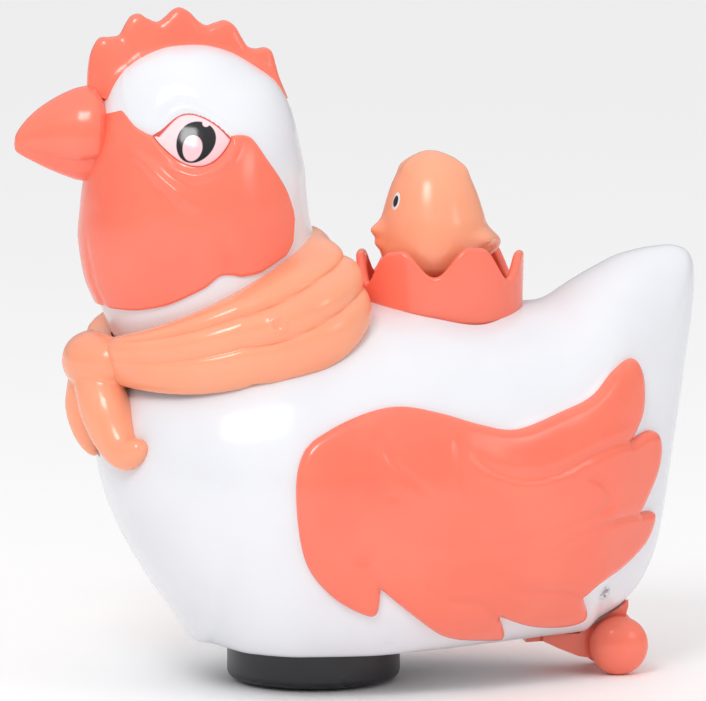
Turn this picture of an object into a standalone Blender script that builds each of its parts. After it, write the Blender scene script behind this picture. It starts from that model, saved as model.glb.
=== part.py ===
"""Battery-driven bump-and-go hen with a chick in a nest on its back.

Frame: metres, +Z up, origin on the floor under the middle of the toy's box. The hen faces -X and its
left side is -Y. Every size below is in millimetres and is turned to metres where a mesh is made.
"""
from math import cos, pi, radians, sin

import bmesh
import bpy
import numpy as np
from mathutils import Matrix, Vector
from mathutils.bvhtree import BVHTree
from mathutils.geometry import delaunay_2d_cdt

MM = 0.001
GAP = 0.3                      # air between touching pieces
WALL = 2.0                     # moulded shell thickness

# Body: hollow shell in two halves, round in front and drawn out to a raised tail
BODY_FRONT, BODY_BACK = -84.0, 111.0
FULLNESS = 2.2                 # superellipse exponent of the cross-sections
RIM_Z = 14.0                   # height of the flat lower rim
BODY_X = [-84, -82, -78, -70, -60, -52, -40, -25, -5, 20, 40, 60, 73, 78, 88, 97, 103, 107.5, 111]
BODY_WIDTH = [0, 17, 29, 41, 49.5, 54, 57.5, 60, 60.5, 58.5, 54, 46.5, 40.5, 37.5, 29.5, 22, 16, 10.5, 0]
BODY_TOP = [76, 92, 101, 108, 113, 116, 120, 123.5, 124.5, 124, 121, 121.5, 128.5, 131.5, 136.5, 138.5,
            139, 138, 131]
BODY_LOW = [76, 64, 53, 38, 23.5, 14, 14, 14, 14, 14, 14, 14, 14, 17.0, 23.2, 37, 70, 100, 131]
BODY_MID = [76, 74, 72, 70, 68, 67, 66, 65, 65, 66, 69, 74, 78, 81, 88, 98, 112, 124, 131]
BODY_RIM = [0, 0, 0, 0, 0, 0, 28, 38.5, 40, 31, 20.5, 10, 4, 0, 0, 0, 0, 0, 0]

# Neck: its axis leans forward, and the head's rings are stacked along it
NECK_TILT = radians(27)
NECK_AT = np.array([-47.7, 0.0, 131.3])
NECK_RADIUS = 36.0
HEAD_S = [-8, 0, 10, 20, 30, 40, 50, 60, 67, 72, 74.5]
HEAD_SHIFT = [0, 0.5, 2.5, 5, 8, 11.8, 14.5, 15.2, 14.5, 13, 12.5]
HEAD_LONG = [36, 36.3, 37.5, 39, 38.7, 36.6, 32.5, 25.2, 18, 10, 0]
HEAD_WIDE = [36, 36.3, 36.5, 36.5, 36, 34, 30, 23.5, 17, 9.5, 0]
NECK_HOLE_RADIUS = 20.0

# Nest and chick on the back
NEST_X, NEST_RADIUS, NEST_RIM_RADIUS, NEST_FLOOR_Z, PETALS = 27.5, 24.5, 27.5, 112.0, 6
CHICK_X, CHICK_TOP_Z, CHICK_BOTTOM_Z, CHICK_RADIUS = 24.0, 171.5, 126.0, 15.8

# Turntable drive under the breast
DRIVE_X = -14.0
DRUM_RADIUS, DRUM_LOW_Z, DRUM_TOP_Z, LID_RADIUS = 28.0, 1.0, 18.6, 29.5
WHEEL_RADIUS, WHEEL_Y = 9.0, 16.0
PAN_Z = (16.8, 18.5)

# Gear train: module and tooth counts, vertical shafts
MODULE = 0.6
PINION_TEETH, IDLER_TEETH, IDLER_SMALL_TEETH, OUTPUT_TEETH = 10, 36, 12, 32
BACKLASH = 0.1
IDLER_X = DRIVE_X - (MODULE * (IDLER_SMALL_TEETH + OUTPUT_TEETH) / 2 + BACKLASH)
MOTOR_Y = MODULE * (PINION_TEETH + IDLER_TEETH) / 2 + BACKLASH

# Rear wheels
REAR_X, REAR_Z, REAR_RADIUS = 84.8, 9.6, 9.6
SIDE_SCREW_X, SIDE_SCREW_Z = 76.0, 30.0

WHITE, CORAL, PEACH, BLACK = (0.91, 0.91, 0.93), (1.0, 0.24, 0.16), (1.0, 0.42, 0.27), (0.012, 0.012, 0.014)
FINISHES = {
    "white_plastic": (WHITE, 0.18, 0.0),
    "coral_plastic": (CORAL, 0.22, 0.0),
    "peach_plastic": (PEACH, 0.24, 0.0),
    "black_plastic": (BLACK, 0.35, 0.0),
    "nylon": ((0.85, 0.83, 0.76), 0.45, 0.0),
    "rubber": ((0.02, 0.02, 0.02), 0.85, 0.0),
    "steel": ((0.62, 0.62, 0.63), 0.28, 1.0),
    "motor_steel": ((0.55, 0.55, 0.56), 0.35, 1.0),
    "brass": ((0.75, 0.55, 0.2), 0.3, 1.0),
    "eye_print": ((0.95, 0.72, 0.74), 0.15, 0.0),
    "board": ((0.04, 0.22, 0.08), 0.5, 0.0),
    "cell_wrap": ((0.08, 0.1, 0.12), 0.3, 0.2),
}
PIVOTS = {}


# ---------------------------------------------------------------- helpers

def hermite(keys, values, at):
    """Monotone cubic through (keys, values)."""
    k, v, at = np.asarray(keys, float), np.asarray(values, float), np.asarray(at, float)
    h = np.diff(k)
    d = np.diff(v) / h
    m = np.concatenate([[d[0]], np.zeros(len(k) - 2), [d[-1]]])
    same = d[:-1] * d[1:] > 0
    m[1:-1][same] = 2 * d[:-1][same] * d[1:][same] / (d[:-1][same] + d[1:][same])
    i = np.clip(np.searchsorted(k, at) - 1, 0, len(h) - 1)
    t = (at - k[i]) / h[i]
    return (v[i] * (1 + 2 * t) * (1 - t) ** 2 + m[i] * h[i] * t * (1 - t) ** 2
            + v[i + 1] * t * t * (3 - 2 * t) + m[i + 1] * h[i] * t * t * (t - 1))


def material(finish):
    """One Principled material for each piece, from its finish."""
    color, roughness, metallic = FINISHES[finish]
    made = bpy.data.materials.new(finish)
    made.use_nodes = True
    shader = made.node_tree.nodes["Principled BSDF"]
    shader.inputs["Base Color"].default_value = (*color, 1.0)
    shader.inputs["Roughness"].default_value = roughness
    shader.inputs["Metallic"].default_value = metallic
    made.diffuse_color = (*color, 1.0)
    return made


def pivot(name, at):
    """An empty on a joint's axis, which its moving pieces are parented to."""
    empty = bpy.data.objects.new(name, None)
    empty.location = Vector(at) * MM
    bpy.context.collection.objects.link(empty)
    PIVOTS[name] = np.array(at, float)
    return empty


def piece(name, shape, finish, on=None, sharp=35):
    """Make an object from (points, faces) in millimetres, turned outwards and shaded smooth."""
    points, faces = shape
    base = PIVOTS[on.name] if on else np.zeros(3)
    mesh = bpy.data.meshes.new(name)
    mesh.from_pydata([tuple((np.asarray(p, float) - base) * MM) for p in points], [], faces)
    work = bmesh.new()
    work.from_mesh(mesh)
    bmesh.ops.recalc_face_normals(work, faces=work.faces)
    work.to_mesh(mesh)
    work.free()
    mesh.shade_smooth()
    mesh.set_sharp_from_angle(angle=radians(sharp))
    mesh.materials.append(material(finish))
    made = bpy.data.objects.new(name, mesh)
    bpy.context.collection.objects.link(made)
    if on:
        made.parent = on
    return made


def tool(name, shape, on=None):
    """A cutter or a shape to join, left out of the build."""
    made = piece(name, shape, "nylon", on)
    made.hide_render = True
    made.display_type = 'WIRE'
    return made


def boolean(target, other, operation):
    """Cut or join target with another closed shape."""
    step = target.modifiers.new(other.name, 'BOOLEAN')
    step.operation = operation
    step.solver = 'EXACT'
    step.object = other


def rings(loops, closed=False):
    """Skin equal closed loops. Closed joins the last loop to the first, else both ends are capped."""
    loops = [np.asarray(loop, float) for loop in loops]
    count = len(loops[0])
    points = [p for loop in loops for p in loop]
    faces = []
    for i in range(len(loops) if closed else len(loops) - 1):
        a, b = i * count, ((i + 1) % len(loops)) * count
        faces += [(a + k, a + (k + 1) % count, b + (k + 1) % count, b + k) for k in range(count)]
    if not closed:
        for start in (0, (len(loops) - 1) * count):
            middle = np.mean(points[start:start + count], axis=0)
            points.append(middle)
            faces += [(start + k, start + (k + 1) % count, len(points) - 1) for k in range(count)]
    return points, faces


def turned(profile, count=32, at=(0, 0, 0), axis="z"):
    """Turn (radius, height) points about an axis: a closed ring, or a solid when both ends have radius 0."""
    angles = np.arange(count) * 2 * pi / count
    solid = profile[0][0] == 0 and profile[-1][0] == 0
    body = profile[1:-1] if solid else profile
    loops = [np.stack([r * np.cos(angles), r * np.sin(angles), np.full(count, h)], axis=1) for r, h in body]
    points, faces = rings(loops, closed=not solid)
    points = np.array(points)
    if solid:
        points[-2], points[-1] = (0, 0, profile[0][1]), (0, 0, profile[-1][1])
    return place(points, at, axis), faces


def place(points, at, axis):
    """Turn points made along z to another axis and move them."""
    x, y, z = points.T
    turns = {"z": (x, y, z), "y": (x, z, y), "-y": (x, -z, y), "x": (z, y, x)}
    return np.stack(turns[axis], axis=1) + np.asarray(at, float)


def rod(radius, low, high, at=(0, 0, 0), axis="z", count=16):
    return turned([(0, low), (radius, low), (radius, high), (0, high)], count, at, axis)


def tube(inner, outer, low, high, at=(0, 0, 0), axis="z", count=32):
    return turned([(outer, high), (outer, low), (inner, low), (inner, high)], count, at, axis)


def box(low, high):
    (x0, y0, z0), (x1, y1, z1) = low, high
    loops = [[(x0, y0, z), (x1, y0, z), (x1, y1, z), (x0, y1, z)] for z in (z0, z1)]
    return rings(loops)


def fill(outlines, inner=()):
    """Flat triangles inside an outline and outside its holes, with any inner points used as corners."""
    points, edges = [], []
    for outline in outlines:
        start = len(points)
        points += [Vector(p) for p in outline]
        edges += [(start + k, start + (k + 1) % len(outline)) for k in range(len(outline))]
    points += [Vector(p) for p in inner]
    made = delaunay_2d_cdt(points, edges, [], 0, 1e-6)
    flat = np.array([v[:] for v in made[0]])
    faces = [f for f in made[2] if within(flat[list(f)].mean(axis=0), outlines)]
    return flat, faces


def within(point, outlines):
    """True when a ray from the point crosses the outlines an odd number of times."""
    hits = 0
    for outline in outlines:
        a = np.asarray(outline, float)
        b = np.roll(a, -1, axis=0)
        straddle = (a[:, 1] > point[1]) != (b[:, 1] > point[1])
        rise = np.where(straddle, b[:, 1] - a[:, 1], 1.0)
        cross = a[:, 0] + (point[1] - a[:, 1]) / rise * (b[:, 0] - a[:, 0])
        hits += int(np.sum(straddle & (cross > point[0])))
    return hits % 2 == 1


def thicken(faces, low, high):
    """Close a flat triangulation into a solid between two sets of points, low and high."""
    count = {}
    for f in faces:
        for k in range(3):
            count[(f[k], f[(k + 1) % 3])] = True
    rim = [e for e in count if (e[1], e[0]) not in count]
    used = sorted({k for f in faces for k in f})
    slot = {old: new for new, old in enumerate(used)}
    size = len(used)
    points = np.concatenate([np.asarray(low)[used], np.asarray(high)[used]])
    top = [tuple(slot[k] + size for k in f) for f in faces]
    bottom = [tuple(slot[k] for k in reversed(f)) for f in faces]
    walls = [(slot[a], slot[b], slot[b] + size, slot[a] + size) for a, b in rim]
    return points, top + bottom + walls


def plate(outlines, low, high, at=(0, 0, 0), axis="z"):
    """A flat plate from an outline and any holes."""
    flat, faces = fill(outlines)
    levels = [np.column_stack([flat, np.full(len(flat), z)]) for z in (low, high)]
    points, faces = thicken(faces, *levels)
    return place(points, at, axis), faces


def circle(radius, count=24, x=0.0, y=0.0):
    return [(x + radius * cos(2 * pi * k / count), y + radius * sin(2 * pi * k / count)) for k in range(count)]


def tray(outer, wall, floor, low, high, hole, count=10):
    """Open-topped box as nested loops round a hole in its floor. outer is centre x, y, half x, half y."""
    cx, cy, hx, hy = outer

    def loop(grow, z):
        corners = [(1, 1), (-1, 1), (-1, -1), (1, -1)]
        path = []
        for i, (a, b) in enumerate(corners):
            c, d = corners[(i + 1) % 4]
            for t in np.arange(count) / count:
                path.append((cx + (hx + grow) * (a + (c - a) * t), cy + (hy + grow) * (b + (d - b) * t), z))
        return path

    def bore(z):
        x, y, r = hole
        angles = radians(45) + np.arange(4 * count) * 2 * pi / (4 * count)
        return [(x + r * cos(t), y + r * sin(t), z) for t in angles]
    top_in = low + floor if high > low else low - floor
    return rings([bore(low), loop(0, low), loop(0, high), loop(-wall, high), loop(-wall, top_in), bore(top_in)],
                 closed=True)


def slab(outer, inner):
    """Close two equal grids of points, a skin and its back, round their four sides."""
    outer, inner = np.asarray(outer, float), np.asarray(inner, float)
    rows, cols = outer.shape[:2]
    size = rows * cols
    points = list(outer.reshape(-1, 3)) + list(inner.reshape(-1, 3))
    faces = []
    for i in range(rows - 1):
        for j in range(cols - 1):
            q = (i * cols + j, i * cols + j + 1, (i + 1) * cols + j + 1, (i + 1) * cols + j)
            faces += [q, tuple(size + k for k in reversed(q))]
    border = ([(0, j) for j in range(cols - 1)] + [(i, cols - 1) for i in range(rows - 1)]
              + [(rows - 1, j) for j in range(cols - 1, 0, -1)] + [(i, 0) for i in range(rows - 1, 0, -1)])
    ids = [i * cols + j for i, j in border]
    for k, a in enumerate(ids):
        b = ids[(k + 1) % len(ids)]
        faces.append((b, a, a + size, b + size))
    return points, faces


def gear_outline(teeth, phase):
    """Straight-flanked teeth: 0.95 module above the pitch circle and 1.25 below it."""
    step = 2 * pi / teeth
    root, tip = MODULE * (teeth / 2 - 1.25), MODULE * (teeth / 2 + 0.95)
    path = []
    for k in range(teeth):
        for radius, part in ((root, -0.26), (tip, -0.1), (tip, 0.1), (root, 0.26)):
            path.append((radius * cos(phase + (k + part) * step), radius * sin(phase + (k + part) * step)))
    return path


def gear(teeth, phase, bore, low, high, at):
    return plate([gear_outline(teeth, phase), circle(bore, 12)], low, high, (at[0], at[1], 0))


# ---------------------------------------------------------------- body surface

def station(x):
    """Where x lies along the body, 0 to 1, bunched towards both ends so that they come out round."""
    span = BODY_BACK - BODY_FRONT
    return np.arccos(np.clip(1 - 2 * (np.asarray(x, float) - BODY_FRONT) / span, -1, 1)) / pi


def body(values, x):
    return hermite(station(BODY_X), values, station(x))


def body_side(x, z):
    """Half-width of the body's outer surface at x and height z."""
    wide, top, low, mid, rim = (body(v, x) for v in (BODY_WIDTH, BODY_TOP, BODY_LOW, BODY_MID, BODY_RIM))
    upper = z > mid
    share = np.where(upper, (z - mid) / np.maximum(top - mid, 1e-6), (mid - z) / np.maximum(mid - low, 1e-6))
    reach = (1 - np.clip(share, 0, 1) ** FULLNESS) ** (1 / FULLNESS)
    return np.where(upper, wide * reach, rim + (wide - rim) * reach)


def body_height(x, y, upper=True):
    """Height of the body's outer surface above (or below) the point x, y."""
    wide, top, low, mid, rim = (body(v, x) for v in (BODY_WIDTH, BODY_TOP, BODY_LOW, BODY_MID, BODY_RIM))
    if upper:
        reach = np.clip(np.abs(y) / np.maximum(wide, 1e-6), 0, 1)
        return mid + (top - mid) * (1 - reach ** FULLNESS) ** (1 / FULLNESS)
    reach = np.clip((np.abs(y) - rim) / np.maximum(wide - rim, 1e-6), 0, 1)
    return mid - (mid - low) * (1 - reach ** FULLNESS) ** (1 / FULLNESS)


def body_grid(columns, steps, side):
    """Outer points of one half: columns along the body, each from the back's edge to the bottom's."""
    u = (np.arange(columns) + 0.5) / columns
    u = np.concatenate([[0.012], u[1:-1], [0.988]])
    x = BODY_FRONT + (BODY_BACK - BODY_FRONT) * (1 - np.cos(pi * u)) / 2
    wide, top, low, mid, rim = (body(v, x)[:, None] for v in
                                (BODY_WIDTH, BODY_TOP, BODY_LOW, BODY_MID, BODY_RIM))
    angle = np.linspace(pi / 2, -pi / 2, steps)[None, :]
    c, s = np.abs(np.cos(angle)) ** (2 / FULLNESS), np.abs(np.sin(angle)) ** (2 / FULLNESS)
    upper = angle > 0
    y = np.where(upper, wide * c, rim + (wide - rim) * c)
    z = np.where(upper, mid + (top - mid) * s, mid - (mid - low) * s)
    y[:, -1] = rim[:, 0]
    return np.stack([np.repeat(x[:, None], steps, axis=1), side * (y + GAP / 2), z], axis=2)


def inward(grid, side, depth):
    """Move a half-shell's grid inwards along its own normals, keeping its middle plane flat."""
    along, across = np.gradient(grid, axis=0), np.gradient(grid, axis=1)
    normal = np.cross(across, along) * side
    normal /= np.maximum(np.linalg.norm(normal, axis=2, keepdims=True), 1e-9)
    moved = grid + normal * depth
    flat = np.abs(grid[:, :, 1]) < GAP
    moved[:, :, 1] = np.where(flat, grid[:, :, 1], side * np.maximum(np.abs(moved[:, :, 1]), GAP / 2))
    return moved


def make_body():
    for side, name in ((-1, "body_left"), (1, "body_right")):
        outer = body_grid(28, 11, side)
        half = piece(name, slab(outer, inward(outer, side, WALL)), "white_plastic")
        nest = rod(NEST_RADIUS + 0.5, 100, 160, (NEST_X, 0, 0), count=36)
        points, faces = rod(NECK_HOLE_RADIUS, -45, 10, count=24)
        neck = (along_neck(*points.T), faces)
        boolean(half, tool(name + "_nest_cut", nest), 'DIFFERENCE')
        boolean(half, tool(name + "_neck_cut", neck), 'DIFFERENCE')
        if side < 0:
            boolean(half, tool("screw_cut", rod(3.0, -8, 8, side_screw_at(), "y", 16)), 'DIFFERENCE')


def make_base_pan():
    """Flat pan that closes the bottom and carries the drive. It rests on the shells' inturned rims."""
    x = np.concatenate([np.linspace(-50.5, -44, 4), np.linspace(-38, 62, 16), np.linspace(65, 71.0, 3)])
    half = body(BODY_RIM, x) + 0.03 * (body(BODY_WIDTH, x) - body(BODY_RIM, x)) - GAP
    outline = list(zip(x, half)) + list(zip(x[::-1], -half[::-1]))
    knob_hole = [(DRIVE_X + a, SWITCH_Y + b) for a, b in ((-4.6, -1.8), (4.6, -1.8), (4.6, 1.8), (-4.6, 1.8))]
    drum_hole = circle(DRUM_RADIUS + 0.5, 40, DRIVE_X)
    piece("base_pan", plate([outline, drum_hole, door_outline(GAP), knob_hole], *PAN_Z), "white_plastic")


# ---------------------------------------------------------------- power

BATTERY_X, BATTERY_HALF, CELL_RADIUS, CELL_LENGTH = (15.9, 65.1), 12.6, 5.25, 44.5
SWITCH_Y, SWITCH_TRAVEL = 34.8, 4.0


def door_outline(grow):
    """Battery door: straight over the cells, tapering to its screw at the back."""
    half = [(17.4, 10.9), (52.0, 10.9), (69.3, 3.9)]
    far = half[-1][0] + grow
    path = [(half[0][0] - grow, half[0][1] + grow), (half[1][0] + grow / 2, half[1][1] + grow),
            (far, half[2][1] + grow)]
    return path + [(x, -y) for x, y in reversed(path)]


def make_power():
    x0, x1 = BATTERY_X
    wall = 1.2
    centre, half = (x0 + x1) / 2, (x1 - x0) / 2
    piece("battery_box", tray((centre, 0, half, BATTERY_HALF), wall, wall, 32.2, 18.8, (centre, 0, 2.0), 4),
          "white_plastic")
    screw_x = 66.9
    piece("battery_door", plate([door_outline(0), circle(1.6, 12, screw_x)], *PAN_Z), "white_plastic")
    piece("door_screw", screw((screw_x, 0, 0), 14.5, 16.2, 24.0, up=True), "steel")
    for k, y in enumerate((-5.6, 5.6)):
        low = centre - CELL_LENGTH / 2
        profile = [(0, low), (CELL_RADIUS, low), (CELL_RADIUS, low + 43.5), (1.9, low + 43.5),
                   (1.9, low + CELL_LENGTH), (0, low + CELL_LENGTH)]
        piece(f"battery_cell_{k + 1}", turned(profile, 16, (0, y, 24.6), "x"), "cell_wrap")
    for name, a in (("contact_front", x0 + wall + 0.3), ("contact_rear", x1 - wall - 0.7)):
        piece(name, box((a, -10.6, 20), (a + 0.4, 10.6, 29.5)), "brass")
    piece("switch_body", box((DRIVE_X - 7, SWITCH_Y - 3.4, 18.8), (DRIVE_X + 7, SWITCH_Y + 3.4, 24)),
          "black_plastic")
    slide = pivot("switch_axis", (DRIVE_X - SWITCH_TRAVEL / 2, SWITCH_Y, 16.5))
    knob = DRIVE_X - SWITCH_TRAVEL / 2
    piece("switch_knob", box((knob - 2, SWITCH_Y - 1.4, 14.7), (knob + 2, SWITCH_Y + 1.4, 18.5)),
          "black_plastic", slide)
    piece("circuit_board", box((18, -17, 38), (62, 17, 39.6)), "board")
    profile = [(0, 42), (9, 42), (9, 46), (16.5, 52), (18, 52), (18, 53.5), (15.5, 53.5), (6, 49), (0, 48)]
    piece("speaker", turned(profile, 24, (36, 0, 0)), "motor_steel")


def screw(at, head_low, head_high, tip, up):
    """Round-headed self-tapping screw along z: head below its shank when up."""
    head, shank = 2.5, 1.2
    profile = [(0, head_low), (head * 0.8, head_low), (head, head_low + 0.6), (head, head_high),
               (shank, head_high), (shank, tip - 1), (0, tip)]
    return turned(profile, 12, at)


# ---------------------------------------------------------------- drive

def make_turntable():
    swing = pivot("turntable_axis", (DRIVE_X, 0, 9))
    at = (DRIVE_X, 0, 0)
    r, inner = DRUM_RADIUS, DRUM_RADIUS - WALL
    low = DRUM_LOW_Z
    profile = [(r, DRUM_TOP_Z), (r, low + 3.5), (r - 0.9, low + 1.2), (r - 3, low), (inner - 1.2, low),
               (inner - 1.2, low + 0.6), (inner, low + 2.4), (inner, DRUM_TOP_Z)]
    piece("turntable_drum", turned(profile, 36, at), "black_plastic", swing)
    slots = [[(a, y + b) for a, b in ((-8.6, -4.2), (8.6, -4.2), (8.6, 4.2), (-8.6, 4.2))]
             for y in (-WHEEL_Y, WHEEL_Y)]
    piece("turntable_floor", plate([circle(inner - 1.6, 32)] + slots, low, low + 1.6, at), "black_plastic",
          swing)
    piece("turntable_lid", tube(2.0, LID_RADIUS, DRUM_TOP_Z + GAP, DRUM_TOP_Z + 1.9, at, count=32),
          "black_plastic", swing)
    for name, y in (("axle_bearing_left", -10.8), ("axle_bearing_right", 10.8)):
        cheek = [(-4, 3.0), (4, 3.0), (4, 12.5), (-4, 12.5)]
        hole = [(x, z + WHEEL_RADIUS) for x, z in circle(1.4, 12)]
        piece(name, plate([cheek, hole], -0.8, 0.8, (DRIVE_X, y, 0), "y"), "black_plastic", swing)


def make_drive_wheels():
    spin = pivot("drive_wheel_axis", (DRIVE_X, 0, WHEEL_RADIUS))
    at = (DRIVE_X, 0, WHEEL_RADIUS)
    piece("drive_axle", rod(1.0, -22, 22, at, "y", 12), "steel", spin)
    for name, side in (("left", -1), ("right", 1)):
        low, high = sorted((side * (WHEEL_Y - 3), side * (WHEEL_Y + 3)))
        piece(f"drive_wheel_{name}", tube(1.3, 6.7, low, high, at, "y", 20), "nylon", spin)
        piece(f"drive_tyre_{name}", tube(7.0, WHEEL_RADIUS, low, high, at, "y", 24), "rubber", spin)
    crown = plate([gear_outline(18, 0), circle(1.3, 12)], 4.6, 7.0, at, "y")
    piece("crown_gear", crown, "nylon", spin)


def make_gear_train():
    shaft = pivot("output_axis", (DRIVE_X, 0, 26))
    at = (DRIVE_X, 0, 0)
    piece("drive_shaft", rod(1.2, 17.2, 36.2, at, count=12), "steel", shaft)
    piece("output_gear", gear(OUTPUT_TEETH, pi / OUTPUT_TEETH + pi, 1.5, 24.0, 28.0, at), "nylon", shaft)
    pinion = [(0, 14.6), (2.6, 14.6), (2.6, 16.9), (0, 16.9)]
    piece("shaft_pinion", turned(pinion, 12, at), "nylon", shaft)

    idler = pivot("idler_axis", (IDLER_X, 0, 30))
    at = (IDLER_X, 0, 0)
    large = piece("idler_gear", gear(IDLER_TEETH, pi / 2, 1.3, 30.0, 33.0, at), "nylon", idler)
    small = tool("idler_small_teeth", gear(IDLER_SMALL_TEETH, 0, 1.3, 24.0, 30.4, at), idler)
    boolean(large, small, 'UNION')
    piece("idler_pin", rod(1.0, 23.0, 36.2, at, count=12), "steel")

    spindle = pivot("motor_axis", (IDLER_X, MOTOR_Y, 32))
    at = (IDLER_X, MOTOR_Y, 0)
    phase = -pi / 2 + pi / PINION_TEETH
    piece("motor_pinion", gear(PINION_TEETH, phase, 1.2, 29.6, 33.4, at), "brass", spindle)
    piece("motor_shaft", rod(0.9, 28.6, 40.4, at, count=12), "steel", spindle)


def make_gearbox():
    case = (-21.5, 3.0, 21.5, 18.0)
    cx, cy, hx, hy = case
    piece("gearbox_case", tray(case, 1.6, 1.6, 21.0, 37.0, (DRIVE_X, 0, 2.2), 6), "white_plastic")
    outline = [(cx + a * hx, cy + b * hy) for a, b in ((-1, -1), (1, -1), (1, 1), (-1, 1))]
    boss = circle(4.0, 20, IDLER_X, MOTOR_Y)
    piece("gearbox_cover", plate([outline, boss], 37.3, 39.0), "white_plastic")
    profile = [(10, 63), (10, 39.4), (3.2, 39.4), (3.2, 41.0), (0, 41.0)]
    can = [(0, 64.2), (2.5, 64.2), (2.5, 63)] + profile
    piece("motor", turned(can, 24, (IDLER_X, MOTOR_Y, 0)), "motor_steel")


# ---------------------------------------------------------------- rear wheels

def make_rear_end():
    """A wedge under the tail that carries the axle between the two ball wheels."""
    x = np.array([55.3, 60.0, 60.6, 66.0, 72.3, 76.0, 79.0, 82.0, 85.4, 87.2, 88.8])
    foot = np.array([10.4, 10.6, 10.9, 8.3, 5.7, 5.0, 4.8, 4.8, 5.2, 16.0, 21.6])
    half = np.array([4.0, 4.0, 6.0, 6.0, 6.0, 6.0, 6.0, 6.0, 6.0, 6.0, 6.0])
    loops = []
    for xi, low, wide in zip(x, foot, half):
        across = np.linspace(-1, 1, 7) * wide
        top = body_height(np.full(7, xi), across, upper=False) - 0.9
        loops.append([(xi, a, b) for a, b in zip(across, top)] + [(xi, wide, low), (xi, -wide, low)])
    bracket = piece("rear_bracket", rings(loops[::-1]), "coral_plastic")
    axis = (REAR_X, 0, REAR_Z)
    boolean(bracket, tool("axle_bore", rod(1.5, -8, 8, axis, "y", 16)), 'DIFFERENCE')

    spin = pivot("rear_wheel_axis", axis)
    piece("rear_axle", rod(1.0, -13.2, 13.2, axis, "y", 12), "steel", spin)
    dome = [(REAR_RADIUS * cos(t), 10.6 + 6.0 * sin(t)) for t in np.linspace(0, pi / 2, 6)[:-1]]
    profile = [(0, 13.6), (1.3, 13.6), (1.3, 6.8), (8.2, 6.8), (REAR_RADIUS, 8.2)] + dome + [(0, 16.6)]
    piece("rear_wheel_left", turned(profile, 24, axis, "-y"), "coral_plastic", spin)
    piece("rear_wheel_right", turned(profile, 24, axis, "y"), "coral_plastic", spin)


# ---------------------------------------------------------------- head

def along_neck(a, y, s):
    """World point from the neck's own frame: a along its plane's long direction, s along its axis."""
    a, y, s = np.broadcast_arrays(a, y, s)
    forward = np.array([cos(NECK_TILT), 0, sin(NECK_TILT)])
    upward = np.array([-sin(NECK_TILT), 0, cos(NECK_TILT)])
    return (NECK_AT + a[..., None] * forward + y[..., None] * np.array([0, 1.0, 0])
            + s[..., None] * upward)


def head_point(s, turn, out=0.0):
    """Point on the head at height s, turn degrees round from its front (left side positive), moved out
    along the surface's normal."""
    s, turn = np.broadcast_arrays(np.asarray(s, float), np.asarray(turn, float))
    if not np.any(out):
        return head_skin(s, turn)
    step = 0.2
    low, high = np.clip(s - step, -8, 74.4), np.clip(s + step, -7.9, 74.5)
    rise = head_skin(high, turn) - head_skin(low, turn)
    round_ = head_skin(s, turn + step) - head_skin(s, turn - step)
    normal = np.cross(round_, rise)
    normal /= np.maximum(np.linalg.norm(normal, axis=-1, keepdims=True), 1e-9)
    return head_skin(s, turn) + normal * out


def head_skin(s, turn):
    turn = np.radians(turn)
    shift, long, wide = (hermite(HEAD_S, v, s) for v in (HEAD_SHIFT, HEAD_LONG, HEAD_WIDE))
    return along_neck(shift - long * np.cos(turn), -wide * np.sin(turn), s)


def make_head():
    on = pivot("head_axis", NECK_AT)
    heights = np.array([-7, 0, 8, 17, 27, 37, 46, 54, 61, 67, 71.5, 74.2])
    for side, name in ((1, "head_left"), (-1, "head_right")):
        turn = np.linspace(0, 180, 14)[None, :] * side
        outer = head_point(heights[:, None], turn)
        inner = head_point(np.minimum(heights, 73.5)[:, None], turn, -WALL)
        for grid in (outer, inner):
            grid[:, :, 1] = -side * np.maximum(np.abs(grid[:, :, 1]), 0) - side * GAP / 2
        piece(name, slab(outer, inner), "white_plastic", on)
    disc = [(a, b) for a, b in circle(NECK_RADIUS - WALL - 0.8, 32)]
    points, faces = plate([disc, circle(12, 32)], -2.9, -1.2)
    piece("neck_plate", (along_neck(points[:, 0], points[:, 1], points[:, 2]), faces), "white_plastic", on)


def make_neck_bearing():
    points, faces = tube(14.0, 26.0, -5.6, -3.3, count=28)
    piece("neck_bearing", (along_neck(points[:, 0], points[:, 1], points[:, 2]), faces), "nylon")


EYE_TURN, EYE_HALF_TURN, EYE_S, EYE_HALF_S, EYE_SLOPE = 86.5, 21.0, 49.0, 8.6, -0.31


def eye_edges(turn):
    """Lower and upper edge of the almond eye opening at a turn round the head."""
    off = turn - EYE_TURN
    middle = EYE_S + EYE_SLOPE * off
    half = EYE_HALF_S * np.clip(1 - (off / EYE_HALF_TURN) ** 2, 0.04, None)
    return middle - half, middle + half


def make_face(on):
    """Coral mask from the neck up to the eyes and the forehead, with the beak moulded on."""
    turn = np.linspace(-138, 138, 33)
    near = np.abs(turn)
    low = hermite([0, 14, 47, 70, 90, 105, 122, 138], [10, 9.4, 5.6, 4.2, 4.0, 2.4, 1.8, 5.5], near)
    high = hermite([0, 20, 40, 58, 66, 108, 118, 130, 138], [71, 67, 61.5, 56.5, 53.5, 41, 38.5, 27.5, 9.5], near)
    lid = eye_edges(near)[0] - 1.0
    high = np.where(np.abs(near - EYE_TURN) < EYE_HALF_TURN + 0.5, np.minimum(high, lid), high)
    share = np.linspace(0, 1, 9)
    s = low[:, None] + (high - low)[:, None] * share[None, :]
    outer = head_point(s, turn[:, None], 2.0)
    inner = head_point(s, turn[:, None], 0.6)
    mask = piece("face_mask", slab(outer, inner), "coral_plastic", on)
    boolean(mask, tool("beak", beak_shape(), on), 'UNION')


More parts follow.
